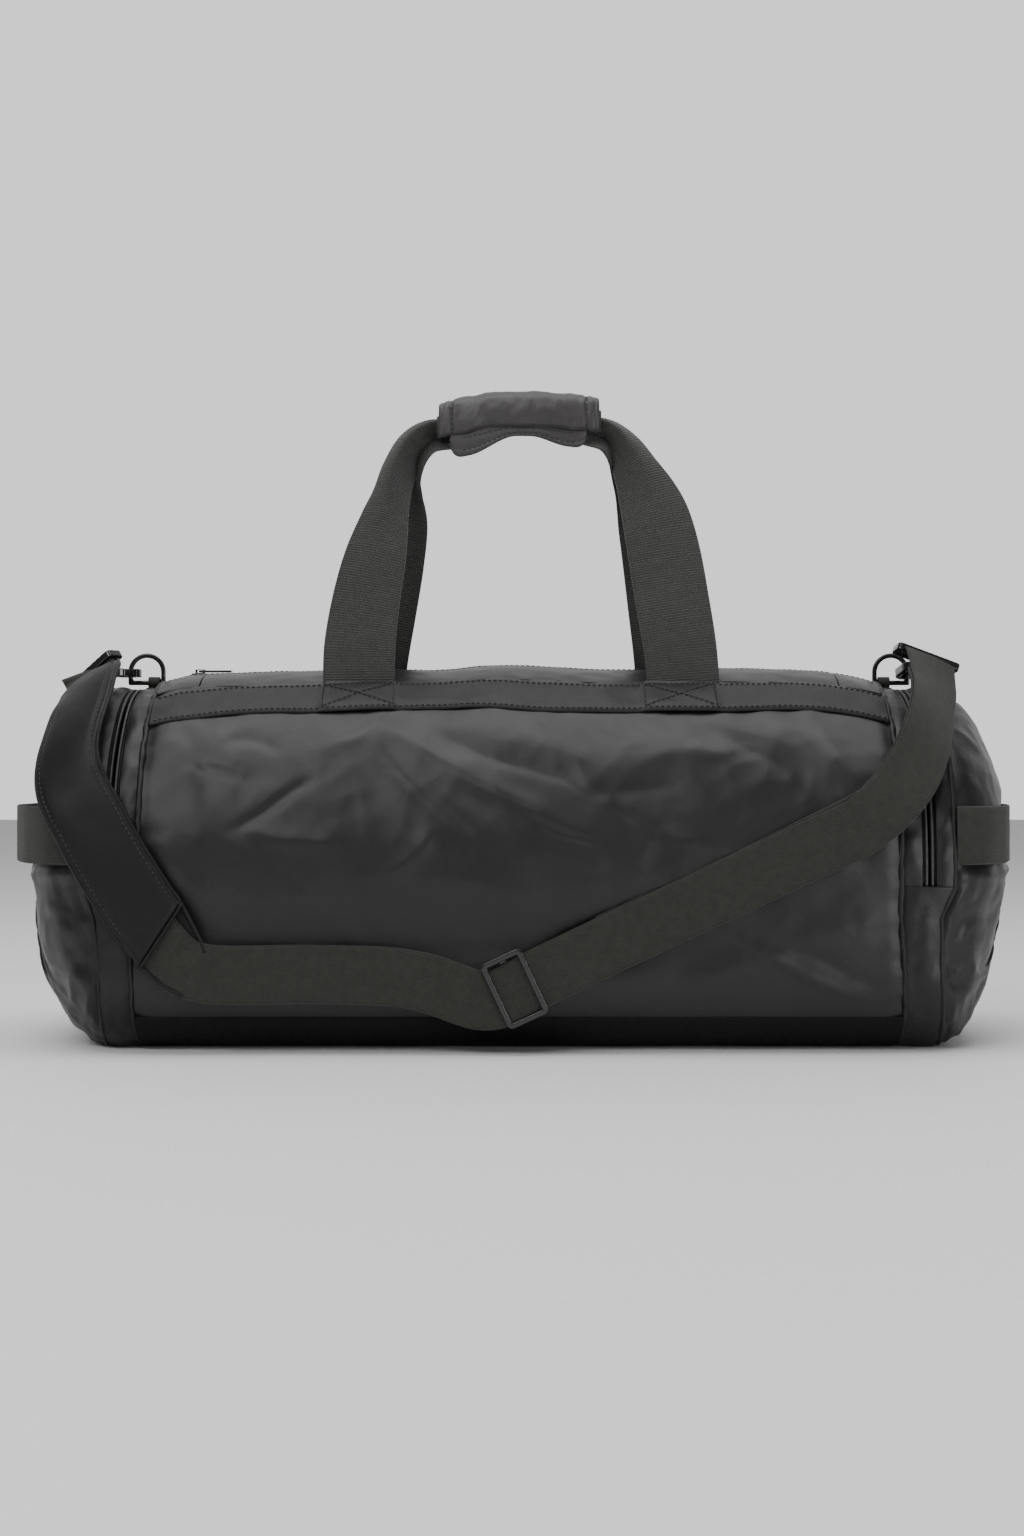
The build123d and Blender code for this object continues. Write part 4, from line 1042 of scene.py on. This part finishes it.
def grip(handle, side):
    """The webbing rolled up inside the wrap."""
    x = np.linspace(-60, 60, 60)
    line = np.stack([x, np.full(60, -side * (GRIP_Y + 0.6)), np.full(60, GRIP_Z)], 1)
    obj = roll(f"{handle}_grip", line, 5.6, HANDLE_WEB, sides=14, pucker=0.1, pitch=20)
    for v in obj.data.vertices:
        v.co.z = (GRIP_Z + float(wrap_arch(v.co.x / MM))) * MM + (v.co.z - GRIP_Z * MM) * 1.45
    return place(obj, f"{handle}_handle_body", "handle_webbing")


for handle, side in (("front", 1), ("back", -1)):
    for end, sign in (("left", -1), ("right", 1)):
        handle_leg(handle, end, side, sign, 101 + side * 3 + sign)
    grip(handle, side)


WRAP_HALF = 58.5
WRAP_STEPS = 80
WRAP_MIDDLE = np.array([-1.5, 456.5])
# The wrap's outside in section, from its lower front edge over the top and down a little behind.
WRAP_PATH = spline([(-15.6, 444.5, 0), (-17.6, 451, 0), (-17.6, 460, 0), (-14.8, 467.8, 0), (-8, 472, 0),
                    (2, 472, 0), (9.5, 469.5, 0), (13.6, 464.5, 0), (14.2, 459, 0)], WRAP_STEPS)


def wrap_point(x, t, lift=0.0):
    """A place on the wrap, t from 0 at the lower front edge to 1 at the back."""
    x, t, lift = np.broadcast_arrays(np.asarray(x, float), np.asarray(t, float), np.asarray(lift, float))
    step = t * (WRAP_STEPS - 1)
    y = np.interp(step, np.arange(WRAP_STEPS), WRAP_PATH[:, 0])
    z = np.interp(step, np.arange(WRAP_STEPS), WRAP_PATH[:, 1])
    out = unit(np.stack([y - WRAP_MIDDLE[0], z - WRAP_MIDDLE[1]], -1))
    return np.stack([x, y + out[..., 0] * lift, z + out[..., 1] * lift + wrap_arch(x)], -1)


def wrap():
    """The padded cover round both grips, with a sewn border at each end."""
    x = np.linspace(-WRAP_HALF, WRAP_HALF, 150)[None, :]
    t = np.linspace(0, 1, 56)[:, None]
    from_end = WRAP_HALF - np.abs(x)
    border = -1.3 * np.exp(-((from_end - 9.5) / 1.1) ** 2) - 1.3 * smooth((2.0 - from_end) / 2.0)
    border = border - 0.8 * np.exp(-((from_end - 3.2) / 0.9) ** 2)
    tuck = 1.1 * wobble(x * 0.7, t * 60, 111, 15) + 1.4 * crumple(x, t * 45, 113, 34, 1.0)
    edge = -1.2 * smooth((0.05 - t) / 0.05)
    puff = border + edge + tuck * smooth((from_end - 8) / 12) + 0.5 * wobble(x, t * 60, 114, 6)
    points = wrap_point(x, t, puff)[::-1]
    uvs = np.stack(np.broadcast_arrays(x / UV_UNIT, t * 0.6), -1)[::-1]
    obj = tidy_normals(thicken(subdivide(grid_object("wrap_cover", points, WRAP, uvs)), 3.4))
    place(obj, "front_handle_body", "wrap_cloth", "handle_wrap")
    rows = []
    for sign in (-1, 1):
        for inward in (3.2, 9.5):
            t_line = np.linspace(0.03, 0.97, 40)
            low = wrap_point(sign * (WRAP_HALF - inward), t_line, -1.0)
            rows.append((low, wrap_point(sign * (WRAP_HALF - inward), t_line, 1.0) - low))
    x_line = np.linspace(-WRAP_HALF + 11, WRAP_HALF - 11, 50)
    low = wrap_point(x_line, 0.08, -0.3)
    rows.append((low, wrap_point(x_line, 0.08, 1.0) - low))
    place(stitches("wrap_thread", rows, thread=0.32), "front_handle_body", "wrap_cloth")


def wrap_flap():
    """The flap hangs open below the wrap: deeper at its rounded corners than in the middle."""
    x = np.linspace(-50, 49, 130)[None, :]
    t = np.linspace(0, 1, 20)[:, None]
    corner = np.sqrt(np.clip(1 - (np.clip(np.abs(x + 0.5) - 40.5, 0, 9) / 9.2) ** 2, 0.0, 1))
    deep = 6.5 + 10.5 * smooth((-x - 2) / 34) + 6.0 * smooth((x - 8) / 28)
    deep = deep * (0.3 + 0.7 * corner)
    z = 446.5 + wrap_arch(x) - t * (deep + 2.0)
    y = -13.6 - 2.0 * np.sin(math.pi * 0.8 * t) + 0.9 * wobble(x, t * 12, 117, 14) * t
    hem = 0.9 * np.exp(-((t - 0.88) / 0.09) ** 2) - 0.6 * np.exp(-((t - 0.7) / 0.05) ** 2)
    points = np.stack(np.broadcast_arrays(x, y - hem, z), -1)
    uvs = np.stack(np.broadcast_arrays(x / UV_UNIT, t * 0.14), -1)
    flap = tidy_normals(thicken(subdivide(grid_object("wrap_flap_cloth", points, WRAP, uvs)), 2.2))
    place(flap, "wrap_flap_body", "wrap_cloth", "wrap_flap")
    out = np.tile([0, -1.0, 0], (110, 1))
    rows = [(points[14, 10:-10] + [0, -0.2, 0], out), (points[5, 10:-10] + [0, -0.2, 0], out)]
    place(stitches("wrap_flap_thread", rows, thread=0.32), "wrap_flap_body", "wrap_cloth")


wrap()
wrap_flap()


# --- shoulder strap -----------------------------------------------------------------------------
STRAP = 40.0
FRONT_Y = -136.8
CATCH = {"left": np.array([-285.0, 0, 263.5]), "right": np.array([285.0, 0, 263.5])}
HOOK_WAY = {"left": unit([-0.55, -0.83, 0.0]), "right": unit([0.20, -0.95, 0.24])}
EYE = {end: CATCH[end] + HOOK_WAY[end] * 45.0 for end in CATCH}
PAD_LINE = [
    ((-303, -52, 260), (-0.50, -0.05, 0.85)), ((-303, -70, 252), (-0.50, -0.25, 0.80)),
    ((-305, -88, 238), (-0.45, -0.50, 0.72)), ((-308, -104, 220), (-0.45, -0.60, 0.62)),
    ((-309.5, -115, 203), (-0.42, -0.70, 0.52)), ((-307, -124, 187), (-0.35, -0.80, 0.42)),
    ((-300, -130.5, 172), (-0.22, -0.90, 0.30)), ((-291, -134.5, 157), (-0.12, -0.96, 0.18)),
    ((-281, -137.0, 139), (-0.05, -0.98, 0.08)), ((-270, -138.5, 121), (0, -1, 0.03)),
    ((-259, -138.5, 104), (0, -1, 0)), ((-247.5, -138.5, 88), (0, -1, 0)),
]
END_SLANT = 9.5
RIGHT_LINE = [
    ((238, -136.8, 160), (0, -1, 0)), ((250, -136.4, 170.5), (0.05, -0.98, 0.16)),
    ((262, -132.0, 184), (0.20, -0.92, 0.32)), ((272, -124.5, 199), (0.38, -0.82, 0.42)),
    ((280, -113.5, 215), (0.54, -0.68, 0.50)), ((286, -99.0, 230), (0.63, -0.52, 0.56)),
    ((290, -81.5, 244), (0.63, -0.36, 0.66)), ((293, -63.0, 257), (0.50, -0.25, 0.80)),
    (tuple(EYE["right"]), (0.35, -0.15, 0.92)),
]
FRONT_RUN = [(-230, 61.5), (-214, 55.5), (-197, 54.2), (-175, 54.2), (-150, 54.6), (-118, 54.2), (-90, 53.2),
             (-68, 50.0), (-50, 44.6), (-36, 39.4), (-24, 36.8), (-12, 39.0), (8, 49.5), (60, 74.6),
             (130, 107.3), (200, 140.0), (228, 152.8)]


def front_stations():
    """The strap's stations along the bag's front and up to the right hook."""
    out = (0, -1, 0)
    stations = [((x, FRONT_Y - 1.2 * math.exp(-((x + 200) / 25) ** 2), z), out) for x, z in FRONT_RUN]
    return stations + RIGHT_LINE


def strap():
    """The webbing of the shoulder strap, its doubled length on the right, and the pad's short end."""
    middle, _, out, across = frames([((-270, -137.0, 111), (0, -1, 0)), ((-257, -137.2, 93), (0, -1, 0)),
                                     ((-243.5, -137.6, 75), (0, -1, 0))] + front_stations(), 0.34)
    run = lengths(middle)
    ripple = 0.9 * wobble(run, run * 0, 121, 70)
    middle = middle + out * ripple[:, None]
    obj = ribbon("strap_webbing", middle, out, across, STRAP, 1.6, STRAP_WEB, cols=16, rib=1.35, depth=0.16,
                 bend=lambda at, flat: 0.5 * wobble(at, flat, 122, 26))
    place(obj, "shoulder_strap_body", "strap_webbing", "strap_front", "strap_right_end")
    knee = np.array([-26, FRONT_Y, 34.5])
    straight = unit([269, 0, 125.5])
    start = knee + straight * 95 + [0, 2.1, 0]
    stations = [(tuple(start), (0, -1, 0)), (tuple(start + straight * 60), (0, -1, 0)),
                (tuple(start + straight * 120), (0, -1, 0))]
    for point, normal in RIGHT_LINE[:-1]:
        stations.append((tuple(np.array(point) - 2.1 * unit(normal)), normal))
    middle, _, out, across = frames(stations, 0.45)
    second = ribbon("strap_second_layer", middle + across * 1.4, out, across, STRAP - 1, 1.5, STRAP_WEB,
                    cols=10, rib=1.35, depth=0.15)
    place(second, "shoulder_strap_body", "strap_webbing", "strap_return")
    stations = [(tuple(EYE["left"]), (-0.45, 0.30, 0.84)), ((-307, -44, 262), (-0.5, 0.1, 0.85)),
                ((-304, -54, 258), (-0.5, -0.05, 0.85)), ((-303, -62, 254), (-0.5, -0.15, 0.82))]
    middle, _, out, across = frames(stations, 0.4)
    short = ribbon("strap_short_end", middle, out, across, STRAP, 1.6, STRAP_WEB, cols=10, rib=1.35,
                   depth=0.16)
    place(short, "shoulder_strap_body", "strap_webbing")


def pad():
    """The shoulder pad: two layers sewn round a foam strip, with piped edges and a row of sewing."""
    middle, along, out, across = frames(PAD_LINE, 1.6)
    run = lengths(middle)[:, None]
    total = run[-1, 0]
    cols = 34
    u = np.linspace(-1, 1, cols)[None, :]
    half = 24.6 - 3.0 * smooth((14 - run) / 14)
    crown = 3.6 * np.clip(1 - np.abs(u) ** 3.2, 0, 1) ** 0.6
    groove = -1.2 * np.exp(-((np.abs(u) - 0.84) / 0.035) ** 2)
    soft = 0.9 * wobble(run, u * 26, 131, 34) + 0.5 * crumple(run, u * 26, 133, 40, 1.0)
    ends = smooth(run / 6) * smooth((total - run) / 4)
    top = (0.4 + (crown + groove + soft * (1 - u**2)) * ends)
    flat = u * half
    upper = middle[:, None] + across[:, None] * flat[..., None] + out[:, None] * (top + 0.4)[..., None]
    under = (1.6 + 1.2 * (1 - u**4)) * np.ones_like(run)
    lower = middle[:, None] + across[:, None] * flat[..., None] - out[:, None] * under[..., None]
    loop = np.concatenate([upper, lower[:, ::-1]], 1)
    # The end seam runs at a slant: the outer edge reaches further down than the inner one.
    slant = END_SLANT * smooth((run - total + 46) / 46) * (1 - np.concatenate([u, u[:, ::-1]], 1))
    loop = loop + along[:, None] * slant[..., None]
    count = loop.shape[1]
    uv_u = np.concatenate([flat, flat[:, ::-1] + 80], 1)
    uvs = uv_grid(run, uv_u)
    faces = tube_faces(len(middle), count)
    obj = mesh_object("shoulder_pad", loop.reshape(-1, 3), faces, PAD, uvs.reshape(-1, 2))
    tidy_normals(obj)
    place(obj, "shoulder_strap_body", "pad_cloth", "strap_pad")
    rows = []
    for sign in (-1, 1):
        line = middle + across * sign * (half * 0.84) + out * 2.1
        rows.append((line[3:-2], out[3:-2]))
    place(stitches("pad_thread", rows), "shoulder_strap_body", "pad_cloth")

    # The backing runs on past the foam to a point each side of the webbing, with piping all round.
    past = [(-221.5, -137.0, 90), (-216, -137.2, 79), (-212.5, -137.6, 69.5)]
    right = np.vstack([middle + across * half, past])
    left_past = [(-258, -137.5, 62), (-246, -137.5, 51), (-228, -137.8, 40)]
    left = np.vstack([middle - across * half, left_past])
    for side_name, edge in (("inner", right), ("outer", left)):
        line = spline(edge[::4].tolist() + [edge[-1].tolist()], 320)
        cord = roll(f"pad_{side_name}_piping", line, 1.5, PAD, sides=8, pucker=0.12, pitch=14)
        place(cord, "shoulder_strap_body", "pad_cloth")
    tail = []
    right_edge, left_edge = spline(right[-16:].tolist(), 24), spline(left[-16:].tolist(), 24)
    for a, b in zip(right_edge, left_edge):
        tail.append([a + (b - a) * t for t in np.linspace(0, 1, 14)])
    tail = np.array(tail)
    tail[..., 1] = -134.9
    uvs = tail[..., [0, 2]] / UV_UNIT
    backing = thicken(grid_object("pad_backing", tail, PAD, uvs), 1.2, 0.0)
    place(tidy_normals(backing), "shoulder_strap_body", "pad_cloth")
    hem = np.array([middle[-1] + across[-1] * half[-1] * t + along[-1] * END_SLANT * (1 - t) + out[-1] * 2.2
                    for t in np.linspace(-1, 1, 24)])
    place(roll("pad_end_hem", hem, 1.3, PAD, pucker=0.15, pitch=8), "shoulder_strap_body", "pad_cloth")


strap()
pad()


# --- hooks, rings, buckle and sliders -----------------------------------------------------------
def moulded(node_name, material, slot, body, voxel=0.45, passes=6):
    """The CAD part's own shape with its edges rounded as moulding leaves them."""
    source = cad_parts[node_name]
    obj = bpy.data.objects.new(f"{node_name}_moulded", source.data.copy())
    bpy.context.scene.collection.objects.link(obj)
    remesh = obj.modifiers.new("skin", "REMESH")
    remesh.mode, remesh.voxel_size = "VOXEL", voxel * MM
    relax = obj.modifiers.new("relax", "SMOOTH")
    relax.iterations, relax.factor = passes, 0.5
    apply_modifiers(obj)
    obj.data.polygons.foreach_set("use_smooth", [True] * len(obj.data.polygons))
    obj.data.materials.clear()
    obj.data.materials.append(material)
    return place(obj, body, slot, node_name)


for end in ("left", "right"):
    moulded(f"{end}_ring", PLASTIC, "hardware_plastic", f"{end}_ring_body", 0.4, 4)
    moulded(f"{end}_hook", PLASTIC, "hardware_plastic", f"{end}_hook_body", 0.4, 6)
    moulded(f"{end}_hook_gate", PLASTIC, "hardware_plastic", f"{end}_gate_body", 0.35, 4)
    moulded(f"{end}_strap_loop", PLASTIC, "hardware_plastic", "shoulder_strap_body", 0.45, 5)
    moulded(f"{end}_ring_tab", STRAP_WEB, "strap_webbing", "bag", 0.4, 3)
    moulded(f"{end}_end_slider", ENAMEL, "zip_metal", f"{end}_slider_body", 0.25, 4)
    moulded(f"{end}_end_puller", ENAMEL, "zip_metal", f"{end}_puller_body", 0.25, 4)
moulded("strap_adjuster", PLASTIC, "hardware_plastic", "adjuster_body", 0.4, 5)
moulded("main_zip_slider", ENAMEL, "zip_metal", "main_slider_body", 0.25, 4)
moulded("main_zip_puller", ENAMEL, "zip_metal", "main_puller_body", 0.22, 3)
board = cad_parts["base_board"]
board.data.materials.clear()
board.data.materials.append(hard_material("board", (0.02, 0.019, 0.018), 0.6))


# --- camera, light and floor --------------------------------------------------------------------
def area_light(name, place_at, aim, size, size_y, energy):
    """A soft rectangular lamp, turned towards a point."""
    data = bpy.data.lights.new(name, "AREA")
    data.shape, data.size, data.size_y, data.energy = "RECTANGLE", size, size_y, energy
    lamp = bpy.data.objects.new(name, data)
    lamp.location = place_at
    lamp.rotation_euler = (Vector(aim) - Vector(place_at)).to_track_quat("-Z", "Y").to_euler()
    bpy.context.scene.collection.objects.link(lamp)


def stage():
    """The pale floor, the room's light, three soft lamps, and the camera straight in front."""
    floor_material, tree, shader = new_material("floor", 0.7, 0.2)
    shader.inputs["Base Color"].default_value = (0.86, 0.86, 0.86, 1)
    bpy.ops.mesh.primitive_plane_add(size=14, location=(0, 0, -0.0004))
    floor = bpy.context.object
    floor.name = "floor"
    floor.data.materials.append(floor_material)
    world = bpy.data.worlds.new("studio")
    world.use_nodes = True
    # The room is paler behind the bag than in front of it, so that its front stays black.
    tree = world.node_tree
    place_in = tree.nodes.new("ShaderNodeTexCoord")
    split = tree.nodes.new("ShaderNodeSeparateXYZ")
    ramp = tree.nodes.new("ShaderNodeMapRange")
    ramp.interpolation_type = "SMOOTHSTEP"
    for socket, value in (("From Min", 0.1), ("From Max", 0.85), ("To Min", 0.16), ("To Max", 1.15)):
        ramp.inputs[socket].default_value = value
    tree.links.new(place_in.outputs["Generated"], split.inputs["Vector"])
    tree.links.new(split.outputs["Y"], ramp.inputs["Value"])
    tree.nodes["Background"].inputs["Color"].default_value = (1, 1, 1, 1)
    tree.links.new(ramp.outputs["Result"], tree.nodes["Background"].inputs["Strength"])
    bpy.context.scene.world = world
    area_light("key", (-1.2, -1.9, 1.9), (0, 0, 0.15), 1.9, 1.0, 32)
    area_light("fill", (1.6, -1.7, 0.3), (0.1, 0, 0.1), 0.9, 0.6, 15)
    area_light("top", (0, -0.2, 2.4), (0, 0, 0.2), 2.4, 1.4, 42)
    lens = bpy.data.cameras.new("camera")
    lens.sensor_fit, lens.sensor_height, lens.lens = "VERTICAL", 36.0, 54.26
    lens.clip_start = 0.05
    camera = bpy.data.objects.new("camera", lens)
    camera.location = (-0.0051, -1.7, 0.194)
    camera.rotation_euler = (math.pi / 2, 0, 0)
    bpy.context.scene.collection.objects.link(camera)
    bpy.context.scene.camera = camera


stage()
